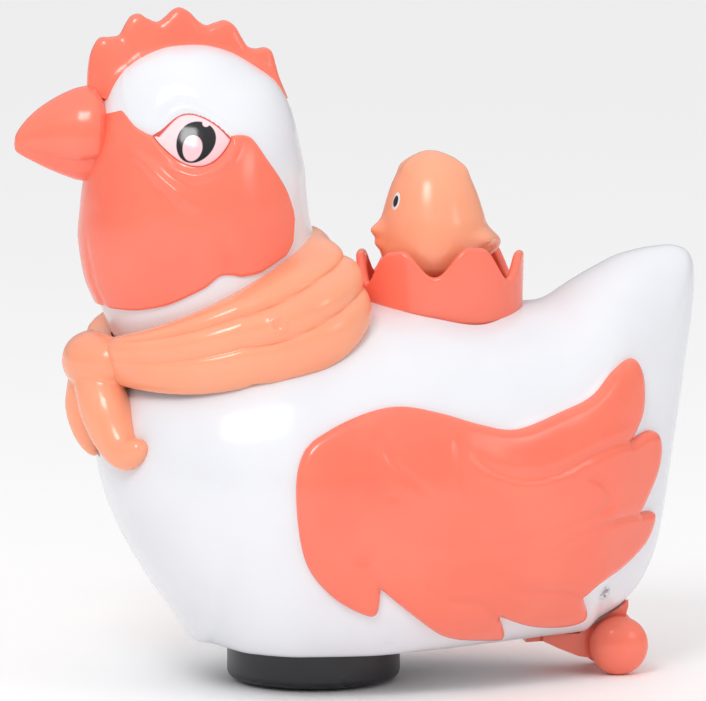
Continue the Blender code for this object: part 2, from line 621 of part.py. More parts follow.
def head_front(y, z, out):
    """x of the head's front surface, grown by out, at y and z."""
    x = np.full(np.shape(y), -110.0)
    for _ in range(240):
        q = np.stack([x - NECK_AT[0], y, z - NECK_AT[2]])
        s = -sin(NECK_TILT) * q[0] + cos(NECK_TILT) * q[2]
        a = cos(NECK_TILT) * q[0] + sin(NECK_TILT) * q[2]
        shift, long, wide = (hermite(HEAD_S, v, np.clip(s, -8, 74)) for v in (HEAD_SHIFT, HEAD_LONG, HEAD_WIDE))
        outside = ((a - shift) / (long + out)) ** 2 + (y / (wide + out)) ** 2 > 1
        x = np.where(outside, x + 0.25, x)
    return x


def beak_shape():
    """Hooked cone from the mask's thickness to the tip. Its root follows the face."""
    angles = np.arange(16) * 2 * pi / 16
    loops = []
    for scale in (0.4, 0.75, 1.0):
        y, z = 13.0 * scale * np.cos(angles), 178.5 + 14.5 * scale * np.sin(angles)
        loops.append(np.stack([head_front(y, z, 1.1), y, z], axis=1))
    for x, low, high, half in ((-94.5, 165.5, 192.5, 10.5), (-100.5, 168.5, 189.5, 8.0), (-105.5, 171, 185.5, 5.6),
                               (-109.5, 173, 181, 3.2), (-110.93, 174.5, 177.8, 1.2)):
        y, z = half * np.cos(angles), (low + high) / 2 + (high - low) / 2 * np.sin(angles)
        loops.append(np.stack([np.full(16, x), y, z], axis=1))
    return rings(loops)


def make_comb(on):
    """Scalloped comb standing on the head's seam, from the forehead to the back of the crown."""
    outer = [(-86.4, 195.4), (-88.3, 200), (-86.6, 206.5), (-83.2, 209.6), (-78, 209.4), (-75.6, 214.4),
             (-71.4, 216.9), (-67.2, 216.2), (-64.2, 214.4), (-61.6, 217.8), (-57.6, 219.3), (-52.4, 217.4),
             (-47.8, 212.9), (-45.6, 215), (-42.6, 215.2), (-38, 211.8), (-34.1, 205.4), (-31.6, 206.8),
             (-28.8, 206.1), (-25, 199.5), (-22.4, 189.6)]
    heights = np.linspace(42, 74.5, 40)
    back = head_point(heights, 180.0)[:, [0, 2]]
    front = head_point(heights[::-1][1:18], 0.0)[:, [0, 2]]
    crown = np.concatenate([back, front])
    along = np.gradient(crown, axis=0)
    along /= np.linalg.norm(along, axis=1, keepdims=True)
    rise = np.concatenate([np.full(len(back), 0.7), np.linspace(0.8, 3.0, len(front))])
    crown = crown + np.stack([along[:, 1], -along[:, 0]], axis=1) * rise[:, None]
    keep = crown[(crown[:, 1] > 190) & (crown[:, 1] > 196.2 - 0.5 * (crown[:, 0] > -70) * 100)]
    path = outer + [tuple(p) for p in keep[::3]]
    piece("comb", plate([path], -4.2, 4.2, (0, 0, 0), "y"), "coral_plastic", on)


def make_eyes(on):
    for side, name in ((1, "eye_left"), (-1, "eye_right")):
        turn = np.linspace(EYE_TURN - EYE_HALF_TURN, EYE_TURN + EYE_HALF_TURN, 11)
        low, high = eye_edges(turn)
        s = low[:, None] + (high - low)[:, None] * np.linspace(0, 1, 5)[None, :]
        turn = side * turn[:, None]
        piece(name, slab(head_point(s, turn, 1.4), head_point(s, turn, 0.35)), "eye_print", on)


# ---------------------------------------------------------------- scarf

SCARF_TOP_RADIUS = 37.4


def scarf_rings(count=36):
    """Collar lofted from a tilted circle round the neck to a wider, squarer loop lying on the back."""
    loops = []
    for turn in np.arange(count) * 2 * pi / count:
        c, s = cos(turn), sin(turn)
        square = 0.6 if c > 0 else 1.0
        c_low, s_low = np.sign(c) * abs(c) ** square, np.sign(s) * abs(s) ** square
        top = along_neck(SCARF_TOP_RADIUS * c, SCARF_TOP_RADIUS * s, 0.0)
        low = np.array([-42.5 + 44.0 * c_low, 47.5 * s_low, 109.5 + 17.5 * c - 6.0 * s * s])
        out = np.array([c, s, 0.55])
        front, back = (np.exp(-((1 - sign * c) / 0.09) ** 2) for sign in (-1, 1))
        share = np.linspace(0, 1, 6)
        bulge = np.sin(pi * share ** 0.8) * (6.5 - 4.0 * front - 4.5 * back)
        outer = top + (low - top) * share[:, None] + out * bulge[:, None]
        inner = top + (low - top) * share[::-1][1:-1, None] + out * (bulge[::-1][1:-1, None] - 3.4)
        inner = keep_off_neck(inner)
        inner[:, 2] = np.maximum(inner[:, 2], on_back(inner) + 1.4)
        outer[:, 2] = np.maximum(outer[:, 2], on_back(outer) + 1.4)
        loops.append(np.concatenate([outer, inner]))
    return rings(loops, closed=True)


def on_back(points):
    """Height of the back under each point, or very low where the point is beside the body."""
    x, y = points[:, 0], points[:, 1]
    height = body_height(x, y)
    return np.where((x > BODY_FRONT + 0.5) & (np.abs(y) < body(BODY_WIDTH, x)), height, 0.0)


def keep_off_neck(points):
    """Push points out to the neck's clearance circle."""
    forward = np.array([cos(NECK_TILT), 0, sin(NECK_TILT)])
    offset = points - NECK_AT
    a, y = offset @ forward, points[:, 1]
    radius = np.hypot(a, y)
    grow = np.maximum(SCARF_TOP_RADIUS + 0.2 - radius, 0) / np.maximum(radius, 1e-6)
    return points + (a * grow)[:, None] * forward + (y * grow)[:, None] * np.array([0, 1.0, 0])


def blob(centre, radii, turn_z=0.0, lean=0.0, columns=14, bands=6):
    """Ellipsoid, leaned about x and turned about z."""
    loops = []
    for t in np.linspace(-pi / 2, pi / 2, bands + 2)[1:-1]:
        around = np.arange(columns) * 2 * pi / columns
        loops.append(np.stack([radii[0] * np.cos(t) * np.cos(around), radii[1] * np.cos(t) * np.sin(around),
                               np.full(columns, radii[2] * sin(t))], axis=1))
    points, faces = rings(loops)
    points = np.array(points)
    points[-2:, 2] = (-radii[2], radii[2])
    turn = np.array(Matrix.Rotation(turn_z, 3, 'Z') @ Matrix.Rotation(lean, 3, 'X'))
    return points @ turn.T + np.asarray(centre, float), faces


def make_scarf():
    ring = piece("scarf_ring", scarf_rings(), "peach_plastic")
    knot = piece("scarf_knot", blob((-87.5, -4, 104.5), (8.6, 13.5, 9.8)), "peach_plastic")
    tails = [("tail_left", blob((-88.6, 3.5, 88), (5.0, 7.6, 15.5), radians(8), radians(6))),
             ("tail_right", blob((-83.8, -18.5, 88.5), (5.4, 8.2, 17.0), radians(-38), radians(-20)))]
    for name, shape in tails:
        boolean(knot, tool(name, shape), 'UNION')
    press_onto(knot, [ring] + [bpy.data.objects[n] for n in ("body_left", "body_right")])


def press_onto(soft, behind):
    """Take the joined mesh and flatten its back against whatever lies behind it."""
    graph = bpy.context.evaluated_depsgraph_get()
    mesh = bpy.data.meshes.new_from_object(soft.evaluated_get(graph))
    trees = [BVHTree.FromObject(item, graph) for item in behind]
    for vert in mesh.vertices:
        nearest = 1.0
        for dy, dz in ((0, 0), (3, 0), (-3, 0), (0, 3), (0, -3)):
            start = Vector((-0.2, vert.co.y + dy * MM, vert.co.z + dz * MM))
            for tree in trees:
                hit = tree.ray_cast(start, Vector((1, 0, 0)))[0]
                if hit:
                    nearest = min(nearest, hit.x)
        facing = 1.6 * MM if vert.normal.x < 0 else 0.6 * MM
        vert.co.x = min(vert.co.x, nearest - facing)
    soft.modifiers.clear()
    soft.data = mesh


# ---------------------------------------------------------------- wings, nest, chick

WING = [(-29.8, 70), (-27, 83), (-18.5, 89.5), (-6, 94.5), (5, 96), (18, 93.5), (31, 89.5), (43, 87.5),
        (59, 92), (69.5, 96), (77, 103), (83.5, 106.5), (87, 103.5), (88.4, 97), (87.5, 88), (83, 80.5),
        (91, 82.5), (95, 78.5), (94, 68.5), (87.5, 56), (93.5, 54.5), (91, 46), (82, 38.5), (73, 34),
        (68, 30), (70.5, 22.5), (64, 20), (51, 21.5), (38.5, 26.5), (41.5, 18.5), (33, 18.5), (19.5, 21.5),
        (6.5, 31), (-2.4, 38.6), (-3.3, 30.5), (-8, 30.5), (-18.5, 37), (-27, 49)]


def off_flank(x, z, out):
    """Point on the left flank, moved out along the surface's normal."""
    step = 0.5
    y = body_side(x, z)
    slope_x = (body_side(x + step, z) - body_side(x - step, z)) / (2 * step)
    slope_z = (body_side(x, z + step) - body_side(x, z - step)) / (2 * step)
    length = np.sqrt(1 + slope_x ** 2 + slope_z ** 2)
    return np.stack([x - out * slope_x / length, y + out / length, z - out * slope_z / length], axis=1)


def make_wings():
    """Feathered panel lying on each flank."""
    spacing = 8.0
    gx, gz = np.meshgrid(np.arange(-28, 96, spacing), np.arange(18, 108, spacing))
    gx = gx + spacing / 2 * (np.arange(gx.shape[0]) % 2)[:, None]
    edge = np.array(WING)
    inner = [p for p in zip(gx.ravel(), gz.ravel()) if within(p, [WING])
             and np.min(np.hypot(*(edge - p).T)) > 0.6 * spacing]
    flat, faces = fill([WING], inner)
    for side, name in ((-1, "wing_left"), (1, "wing_right")):
        levels = [off_flank(flat[:, 0], flat[:, 1], out) * (1, side, 1) for out in (0.9, 3.0)]
        piece(name, thicken(faces, *levels), "coral_plastic")


def make_nest():
    """Cup with a rim of six petals, standing through the back."""
    count = 36
    turn = np.arange(count) * 2 * pi / count

    def loop(radius, z):
        return np.stack([NEST_X + radius * np.cos(turn), radius * np.sin(turn), np.broadcast_to(z, count)], axis=1)
    rim = 138.5 - 5.0 * np.cos(PETALS * (turn - radians(-100)))
    r, top, w = NEST_RADIUS, NEST_RIM_RADIUS, WALL
    hole = 4.0
    loops = [loop(hole, NEST_FLOOR_Z), loop(r, NEST_FLOOR_Z), loop(r, 127.5), loop(top, rim),
             loop(top - w, rim), loop(r - w, 127.5), loop(r - w, NEST_FLOOR_Z + w),
             loop(hole, NEST_FLOOR_Z + w)]
    for floor_hole in (loops[0], loops[-1]):
        floor_hole[:, 0] += CHICK_X - NEST_X
    piece("nest_cup", rings(loops, closed=True), "coral_plastic")


def chick_radius(z):
    """Egg outline: an ellipse from the stem to the crown."""
    share = np.clip((z - CHICK_BOTTOM_Z) / (CHICK_TOP_Z - CHICK_BOTTOM_Z), 0, 1)
    return CHICK_RADIUS * np.sqrt(np.clip(1 - (2 * share - 1) ** 2, 0, 1))


def make_chick():
    on = pivot("chick_axis", (CHICK_X, 0, 120))
    z = (CHICK_BOTTOM_Z + CHICK_TOP_Z) / 2 - (CHICK_TOP_Z - CHICK_BOTTOM_Z) / 2 * np.cos(np.linspace(0, pi, 11))
    profile = [(float(chick_radius(h)), float(h)) for h in z]
    profile[0], profile[-1] = (0, CHICK_BOTTOM_Z), (0, CHICK_TOP_Z)
    chick = piece("chick_body", turned(profile, 22, (CHICK_X, 0, 0)), "peach_plastic", on)
    boolean(chick, tool("chick_beak", blob((CHICK_X - 15.2, 0, 146.0), (3.6, 3.4, 3.0), columns=10, bands=5), on),
            'UNION')
    boolean(chick, tool("chick_tail", blob((CHICK_X + 13.6, 0, 142.5), (7.2, 7.0, 3.6), columns=12, bands=5), on),
            'UNION')
    piece("chick_stem", rod(3.2, 106.0, CHICK_BOTTOM_Z - GAP, (CHICK_X, 0, 0), count=16), "nylon", on)
    for side, name in ((-1, "chick_eye_left"), (1, "chick_eye_right")):
        turn = radians(180 - side * -42)
        z0 = 156.0
        r = float(chick_radius(z0)) + 1.25
        centre = (CHICK_X + r * cos(turn), r * sin(turn), z0)
        piece(name, blob(centre, (0.55, 1.3, 2.0), turn, 0.0, 10, 3), "black_plastic", on)
    arm = [(-5, -5), (4, -5), (18, -3), (18, 3), (4, 5), (-5, 5)]
    hub = circle(3.5, 12)
    piece("chick_lever", plate([arm, hub], 107.0, 109.5, (CHICK_X, 0, 0)), "nylon", on)


def side_screw_at():
    return SIDE_SCREW_X, -float(body_side(SIDE_SCREW_X, SIDE_SCREW_Z)), SIDE_SCREW_Z


def make_side_screw():
    """Screw that closes the two body halves, sunk in the left flank near the tail."""
    profile = [(0, 0.6), (2.0, 0.6), (2.5, 0.0), (2.5, -1.2), (1.2, -1.2), (1.2, -9), (0, -10)]
    piece("side_screw", turned(profile, 14, side_screw_at(), "-y"), "steel")


def main():
    for item in list(bpy.data.objects):
        bpy.data.objects.remove(item)
    make_body()
    make_base_pan()
    make_power()
    make_turntable()
    make_drive_wheels()
    make_gear_train()
    make_gearbox()
    make_rear_end()
    make_head()
    make_neck_bearing()
    head = bpy.data.objects["head_axis"]
    make_face(head)
    make_comb(head)
    make_eyes(head)
    make_scarf()
    make_wings()
    make_nest()
    make_chick()
    make_side_screw()


main()
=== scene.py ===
# %% [markdown]
# # A moulded hen on wheels, piece by piece
# The toy is a hollow plastic hen. It runs on a hidden turntable drive, turns its head and carries a
# chick in a nest on its back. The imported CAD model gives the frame: where every part is and how it
# moves. This lesson lays a fine surface over each part that shows, and a real finish over all of them.

# %% Load the frame and keep its box
from math import cos, pi, radians, sin

import bpy
import numpy as np
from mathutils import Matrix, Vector
from mathutils.geometry import delaunay_2d_cdt


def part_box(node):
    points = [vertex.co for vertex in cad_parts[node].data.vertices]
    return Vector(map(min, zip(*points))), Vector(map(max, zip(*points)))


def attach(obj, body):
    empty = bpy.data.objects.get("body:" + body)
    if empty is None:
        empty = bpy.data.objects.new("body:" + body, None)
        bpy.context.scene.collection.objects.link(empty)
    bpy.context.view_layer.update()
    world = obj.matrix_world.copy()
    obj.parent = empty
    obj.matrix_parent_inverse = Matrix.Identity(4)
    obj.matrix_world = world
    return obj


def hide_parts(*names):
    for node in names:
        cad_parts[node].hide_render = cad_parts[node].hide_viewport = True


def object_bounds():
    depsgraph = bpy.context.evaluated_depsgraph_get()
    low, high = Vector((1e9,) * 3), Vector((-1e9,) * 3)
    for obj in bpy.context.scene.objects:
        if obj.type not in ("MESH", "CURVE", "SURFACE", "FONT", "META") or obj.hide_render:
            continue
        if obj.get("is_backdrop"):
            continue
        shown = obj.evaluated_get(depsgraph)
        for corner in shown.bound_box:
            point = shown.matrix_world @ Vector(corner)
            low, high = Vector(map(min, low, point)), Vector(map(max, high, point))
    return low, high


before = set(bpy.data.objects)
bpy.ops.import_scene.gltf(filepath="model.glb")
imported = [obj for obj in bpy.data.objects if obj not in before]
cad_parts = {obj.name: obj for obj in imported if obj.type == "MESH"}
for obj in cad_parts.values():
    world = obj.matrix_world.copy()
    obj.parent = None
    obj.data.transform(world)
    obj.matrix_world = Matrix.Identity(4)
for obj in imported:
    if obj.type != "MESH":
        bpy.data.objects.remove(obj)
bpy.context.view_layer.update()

# %% [markdown]
# All shapes below are worked out in millimetres, the unit a toy maker draws in, and turned to metres
# at the last moment. Three small helpers do the general work: a smooth curve through a few measured
# values, a mesh from a grid of points, and a closed shell from two grids.

# %% A smooth curve through a few values
MM = 0.001


def hermite(keys, values, at):
    """Cubic pieces through (keys, values). The slope at a key is the harmonic mean of the slopes on
    either side, or level where they disagree, so the curve never swings past its own values."""
    k, v, at = np.asarray(keys, float), np.asarray(values, float), np.asarray(at, float)
    h = np.diff(k)
    d = np.diff(v) / h
    m = np.concatenate([[d[0]], np.zeros(len(k) - 2), [d[-1]]])
    same = d[:-1] * d[1:] > 0
    m[1:-1][same] = 2 * d[:-1][same] * d[1:][same] / (d[:-1][same] + d[1:][same])
    i = np.clip(np.searchsorted(k, at) - 1, 0, len(h) - 1)
    t = (at - k[i]) / h[i]
    return (v[i] * (1 + 2 * t) * (1 - t) ** 2 + m[i] * h[i] * t * (1 - t) ** 2
            + v[i + 1] * t * t * (3 - 2 * t) + m[i + 1] * h[i] * t * t * (t - 1))


def bell(distance, width):
    """A smooth hump: 1 where distance is 0, falling to 0.37 at one width away."""
    return np.exp(-(np.asarray(distance) / width) ** 2)


def round_edge(distance, radius):
    """Quarter circle: 0 at the edge, rising to 1 one radius in and flat from there."""
    t = np.clip(np.asarray(distance) / radius, 0, 1)
    return np.sqrt(1 - (1 - t) ** 2)


# %% Meshes from grids
def add_piece(name, points, faces, body, nodes, finish, sharp=38.0):
    """A mesh object from points in mm. Its faces are turned round as a whole if they enclose a negative
    volume, so they always look outwards. It rides on a body and stands for the CAD nodes named."""
    points = np.asarray(points, float).reshape(-1, 3) * MM
    faces = [np.asarray(f, int) for f in faces if len(f)]
    corners = [np.concatenate([f[:, [0, 1, 2]]] + ([f[:, [0, 2, 3]]] if f.shape[1] == 4 else []))
               for f in faces]
    a, b, c = points[np.concatenate(corners)].transpose(1, 0, 2)
    if np.einsum("ij,ij->", a, np.cross(b, c)) < 0:
        faces = [f[:, ::-1] for f in faces]
    mesh = bpy.data.meshes.new(name)
    mesh.from_pydata(points, [], [tuple(row) for f in faces for row in f.tolist()])
    mesh.shade_smooth()
    mesh.set_sharp_from_angle(angle=radians(sharp))
    mesh.materials.append(FINISH[finish])
    made = bpy.data.objects.new(name, mesh)
    bpy.context.scene.collection.objects.link(made)
    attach(made, body)
    for node in nodes:
        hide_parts(node)
    print(f"{name}: {len(points)} points")
    return made


def grid_faces(rows, columns, start=0, wrap=False):
    """Four corner numbers for each cell of a grid numbered row by row. wrap joins the last column to
    the first."""
    i, j = np.meshgrid(np.arange(rows - 1), np.arange(columns if wrap else columns - 1), indexing="ij")
    k = (j + 1) % columns
    return start + np.stack([i * columns + j, i * columns + k, (i + 1) * columns + k,
                             (i + 1) * columns + j], axis=-1).reshape(-1, 4)


def loops(grid, ring=False):
    """Closed loops skinned in order. The two ends close with fans to their middles, or, for a ring, the
    last loop joins the first."""
    rows, columns = grid.shape[:2]
    points = grid.reshape(-1, 3)
    if ring:
        quads = grid_faces(rows + 1, columns, wrap=True) % (rows * columns)
        return points, [quads]
    ends = np.stack([grid[0].mean(axis=0), grid[-1].mean(axis=0)])
    k = np.arange(columns)
    first = np.stack([(k + 1) % columns, k, np.full(columns, rows * columns)], axis=1)
    last = np.stack([k, (k + 1) % columns, np.full(columns, rows * columns + 1 - (rows - 1) * columns)],
                    axis=1) + (rows - 1) * columns
    return np.concatenate([points, ends]), [grid_faces(rows, columns, wrap=True), first, last]


def shell(outer, inner):
    """A skin and its back, joined round their four sides."""
    rows, columns = outer.shape[:2]
    size = rows * columns
    numbers = np.arange(size).reshape(rows, columns)
    rim = np.concatenate([numbers[0, :-1], numbers[:-1, -1], numbers[-1, :0:-1], numbers[:0:-1, 0]])
    after = np.roll(rim, -1)
    walls = np.stack([after, rim, rim + size, after + size], axis=1)
    quads = np.concatenate([grid_faces(rows, columns), grid_faces(rows, columns, size)[:, ::-1], walls])
    return np.concatenate([outer.reshape(-1, 3), inner.reshape(-1, 3)]), [quads]


def normals(grid):
    """Unit normal at each point of a grid, from its neighbours along both directions."""
    n = np.cross(np.gradient(grid, axis=1), np.gradient(grid, axis=0))
    return n / np.maximum(np.linalg.norm(n, axis=2, keepdims=True), 1e-9)


# %% [markdown]
# ## Finishes
# Almost every visible part is injection-moulded ABS. Polished steel moulds leave it glossy, but never
# like glass: the cooling plastic shrinks a little and leaves a faint waviness, and handling leaves the
# gloss a little uneven. So each plastic has a low roughness that varies over a few centimetres, and a
# very shallow bump. Colours are sRGB hex values turned to linear by one function.

# %% Colour and node helpers
def linear(code):
    """sRGB hex colour to linear: a straight part near black, a 2.4 power above it."""
    channels = [int(code[k:k + 2], 16) / 255 for k in (1, 3, 5)]
    return tuple(c / 12.92 if c <= 0.04045 else ((c + 0.055) / 1.055) ** 2.4 for c in channels) + (1.0,)


def add(tree, kind, settings=None, **inputs):
    """Adds a node. settings are its own properties; inputs are values, or sockets to link from."""
    node = tree.nodes.new(kind)
    for key, value in (settings or {}).items():
        setattr(node, key, value)
    for key, value in inputs.items():
        socket = node.inputs[int(key[1:])] if key[0] == "_" and key[1:].isdigit() else node.inputs[
            key.replace("_", " ")]
        if isinstance(value, bpy.types.NodeSocket):
            tree.links.new(value, socket)
        else:
            socket.default_value = value
    return node


def start_material(name):
    """A new material with its shader and its Object coordinates."""
    made = bpy.data.materials.new(name)
    made.use_nodes = True
    tree = made.node_tree
    shader = tree.nodes["Principled BSDF"]
    place = add(tree, "ShaderNodeTexCoord").outputs["Object"]
    return made, tree, shader, place


def noise(tree, place, size_mm, detail=2.0):
    """Cloudy pattern whose patches are about size_mm across."""
    return add(tree, "ShaderNodeTexNoise", Vector=place, Scale=1000.0 / size_mm, Detail=detail)


def spread(tree, value, low, high):
    """Takes a pattern's usual range, 0.3 to 0.7, to low to high."""
    return add(tree, "ShaderNodeMapRange", _0=value, _1=0.3, _2=0.7, _3=low, _4=high).outputs[0]


# %% Moulded plastics
def moulded(name, light, dark, roughness, ripple=0.05, glow=0.0):
    """Injection-moulded glossy ABS. Its colour drifts between two close shades over 30 mm, its gloss
    over 14 mm, and its surface ripples over 5 mm by a few hundredths of a millimetre. glow is how far
    light soaks into the pigment."""
    made, tree, shader, place = start_material(name)
    clouds = noise(tree, place, 30.0)
    shade = add(tree, "ShaderNodeMix", {"data_type": "RGBA"}, _0=spread(tree, clouds.outputs[0], 0.0, 1.0),
                _6=linear(dark), _7=linear(light))
    gloss = noise(tree, place, 14.0, 3.0)
    ripples = noise(tree, place, 5.0, 1.0)
    bump = add(tree, "ShaderNodeBump", Height=ripples.outputs[0], Strength=0.25, Distance=ripple * MM)
    tree.links.new(shade.outputs[2], shader.inputs["Base Color"])
    tree.links.new(spread(tree, gloss.outputs[0], roughness * 0.8, roughness * 1.25),
                   shader.inputs["Roughness"])
    tree.links.new(bump.outputs[0], shader.inputs["Normal"])
    shader.inputs["IOR"].default_value = 1.54
    if glow:
        shader.inputs["Subsurface Weight"].default_value = glow
        shader.inputs["Subsurface Radius"].default_value = (1.0, 0.45, 0.35)
        shader.inputs["Subsurface Scale"].default_value = 2.5 * MM
    return made


FINISH = {
    "white ABS": moulded("White moulded ABS", "#ECEDF1", "#E7E8ED", 0.18, glow=0.05),
    "coral ABS": moulded("Coral moulded ABS", "#FF8168", "#FD7860", 0.2, glow=0.12),
    "peach ABS": moulded("Peach moulded ABS", "#FFAA84", "#FDA27D", 0.2, glow=0.12),
    "black ABS": moulded("Black moulded ABS", "#26262B", "#1E1E22", 0.34),
    "chick eye": moulded("Black eye paint", "#17171A", "#101012", 0.12, 0.0),
    "nylon": moulded("Natural moulded nylon", "#ECE9DC", "#E2DECF", 0.42),
}
print("plastics:", ", ".join(FINISH))


# %% Metals, rubber, board and cell wrap
def turned_metal(name, light, dark, roughness, grain_mm):
    """Drawn or turned metal: fine grain lines across the axis change its gloss, and a stain or two
    its colour."""
    made, tree, shader, place = start_material(name)
    stains = noise(tree, place, 6.0, 3.0)
    shade = add(tree, "ShaderNodeMix", {"data_type": "RGBA"}, _0=spread(tree, stains.outputs[0], 0.0, 1.0),
                _6=linear(dark), _7=linear(light))
    stretched = add(tree, "ShaderNodeMapping", Vector=place, Scale=(1.0, 0.08, 1.0)).outputs[0]
    grain = noise(tree, stretched, grain_mm, 2.0)
    bump = add(tree, "ShaderNodeBump", Height=grain.outputs[0], Strength=0.3, Distance=0.02 * MM)
    tree.links.new(shade.outputs[2], shader.inputs["Base Color"])
    tree.links.new(spread(tree, grain.outputs[0], roughness * 0.7, roughness * 1.3),
                   shader.inputs["Roughness"])
    tree.links.new(bump.outputs[0], shader.inputs["Normal"])
    shader.inputs["Metallic"].default_value = 1.0
    return made


def rubber():
    """Moulded rubber: nearly black, dull, with a fine sandy skin 0.6 mm across."""
    made, tree, shader, place = start_material("Black moulded rubber")
    sand = noise(tree, place, 0.6, 2.0)
    bump = add(tree, "ShaderNodeBump", Height=sand.outputs[0], Strength=0.6, Distance=0.06 * MM)
    shader.inputs["Base Color"].default_value = linear("#1B1B1C")
    tree.links.new(spread(tree, sand.outputs[0], 0.7, 0.92), shader.inputs["Roughness"])
    tree.links.new(bump.outputs[0], shader.inputs["Normal"])
    return made


def circuit_board():
    """Glass-epoxy board under green lacquer: a woven glass pattern 0.8 mm apart shows faintly."""
    made, tree, shader, place = start_material("Lacquered glass epoxy")
    threads = add(tree, "ShaderNodeTexWave", {"bands_direction": "DIAGONAL"}, Vector=place,
                  Scale=1000.0 / (0.8 * 20 / pi), Distortion=0.4)
    shade = add(tree, "ShaderNodeMix", {"data_type": "RGBA"}, _0=threads.outputs[1],
                _6=linear("#1F5A2C"), _7=linear("#26693A"))
    tree.links.new(shade.outputs[2], shader.inputs["Base Color"])
    tree.links.new(spread(tree, threads.outputs[1], 0.32, 0.42), shader.inputs["Roughness"])
    return made


FINISH["steel"] = turned_metal("Drawn bright steel", "#D8D8DA", "#BFC0C4", 0.28, 0.5)
FINISH["brass"] = turned_metal("Turned brass", "#D9B25F", "#C69C4A", 0.3, 0.5)
FINISH["rubber"] = rubber()
FINISH["board"] = circuit_board()
FINISH["cell wrap"] = moulded("Shrunk vinyl cell wrap", "#2B3138", "#23282E", 0.28, 0.08)
print("finishes:", len(FINISH))

# %% [markdown]
# ## The eye print
# The eyes are pad-printed: flat ink on a smooth curved insert. A print has no depth, so this is the
# one place where the picture is painted by the material. The insert carries its own UV map in
# millimetres, and ellipses are drawn by measuring how far a point is from each centre.

# %% Eye ink from ellipses
def inside(tree, place, centre, radii, turn=0.0):
    """1 inside an ellipse and 0 outside, with an edge about 0.15 mm soft: the length of the point's
    offset divided by the radii is compared with 1."""
    moved = add(tree, "ShaderNodeMapping", {"vector_type": "TEXTURE"}, Vector=place,
                Location=(*centre, 0.0), Rotation=(0.0, 0.0, radians(turn)), Scale=(*radii, 1.0))
    size = add(tree, "ShaderNodeVectorMath", {"operation": "LENGTH"}, _0=moved.outputs[0]).outputs["Value"]
    soft = 0.12 / min(radii)
    return add(tree, "ShaderNodeMapRange", _0=size, _1=1 + soft, _2=1 - soft, _3=0.0, _4=1.0).outputs[0]


def over(tree, share, below, ink):
    """Ink laid over what is below where share is 1."""
    return add(tree, "ShaderNodeMix", {"data_type": "RGBA"}, _0=share, _6=below, _7=linear(ink)).outputs[2]


def eye_print():
    """Pale pink white of the eye, a black iris, an off-centre pink pupil and a notch of light, inside a
    coral lid line."""
    made, tree, shader, _ = start_material("Pad-printed eye")
    place = add(tree, "ShaderNodeUVMap", {"uv_map": "eye_mm"}).outputs[0]
    colour = linear("#FBDDE0")
    # The white of the eye turns a deeper pink towards its bottom, up to three quarters of the way.
    up_the_eye = add(tree, "ShaderNodeSeparateXYZ", Vector=place).outputs[1]
    pinker_towards_bottom = add(tree, "ShaderNodeMapRange", _0=up_the_eye, _1=4.0, _2=-9.0, _3=0.0, _4=0.75).outputs[0]
    colour = over(tree, pinker_towards_bottom, colour, "#F9BFC4")
    colour = over(tree, inside(tree, place, IRIS_AT, IRIS_RADII, -8.0), colour, "#1D1D21")
    colour = over(tree, inside(tree, place, PUPIL_AT, PUPIL_RADII, -6.0), colour, "#F6C9CF")
    colour = over(tree, inside(tree, place, GLINT_AT, (1.5, 1.2), 20.0), colour, "#FBDDE0")
    lid = add(tree, "ShaderNodeAttribute", {"attribute_name": "lid_line"}).outputs["Fac"]
    colour = over(tree, lid, colour, "#D9574A")
    tree.links.new(colour, shader.inputs["Base Color"])
    ink = noise(tree, place, 1200.0)
    tree.links.new(spread(tree, ink.outputs[0], 0.1, 0.16), shader.inputs["Roughness"])
    return made


IRIS_AT, IRIS_RADII = (1.3, -1.3), (6.5, 5.6)
PUPIL_AT, PUPIL_RADII = (-0.3, -2.5), (3.2, 3.5)
GLINT_AT = (6.6, 2.2)
FINISH["eye"] = eye_print()

# %% [markdown]
# ## The body
# The body is a hollow shell moulded in a left and a right half. A maker would sculpt it as sections
# along its length: each has a widest point, a top and a bottom, joined by a superellipse, a rounder
# kind of square. Sections bunch up towards both ends so that the breast and the tail come out round.

# %% Section tables and the body's surface
BODY_FRONT, BODY_BACK = -84.0, 111.0
FULLNESS = 2.2
BODY_X = [-84, -82, -78, -70, -60, -52, -40, -25, -5, 20, 40, 60, 73, 78, 88, 97, 103, 107.5, 111]
BODY_WIDTH = [0, 17, 29, 41, 49.5, 54, 57.5, 60, 60.5, 58.5, 54, 46.5, 40.5, 37.5, 29.5, 22, 16, 10.5, 0]
BODY_TOP = [76, 92, 101, 108, 113, 116, 120, 123.5, 124.5, 124, 121, 121.5, 128.5, 131.5, 136.5, 138.5,
            139, 138, 131]
BODY_LOW = [76, 64, 53, 38, 23.5, 14, 14, 14, 14, 14, 14, 14, 14, 17.0, 23.2, 37, 70, 100, 131]
BODY_MID = [76, 74, 72, 70, 68, 67, 66, 65, 65, 66, 69, 74, 78, 81, 88, 98, 112, 124, 131]
BODY_RIM = [0, 0, 0, 0, 0, 0, 28, 38.5, 40, 31, 20.5, 10, 4, 0, 0, 0, 0, 0, 0]
SEAM_GAP = 0.05


def station(x):
    """Where x lies along the body, 0 to 1: the arc cosine bunches both ends."""
    span = BODY_BACK - BODY_FRONT
    return np.arccos(np.clip(1 - 2 * (np.asarray(x, float) - BODY_FRONT) / span, -1, 1)) / pi


def body(values, x):
    """One section value at x."""
    return hermite(station(BODY_X), values, station(x))


def body_side(x, z):
    """Half-width at x and height z: (1 - share of the way up or down, to the power) to 1 / power."""
    wide, top, low, mid, rim = (body(v, x) for v in (BODY_WIDTH, BODY_TOP, BODY_LOW, BODY_MID, BODY_RIM))
    upper = z > mid
    share = np.where(upper, (z - mid) / np.maximum(top - mid, 1e-6), (mid - z) / np.maximum(mid - low, 1e-6))
    reach = (1 - np.clip(share, 0, 1) ** FULLNESS) ** (1 / FULLNESS)
    return np.where(upper, wide * reach, rim + (wide - rim) * reach)


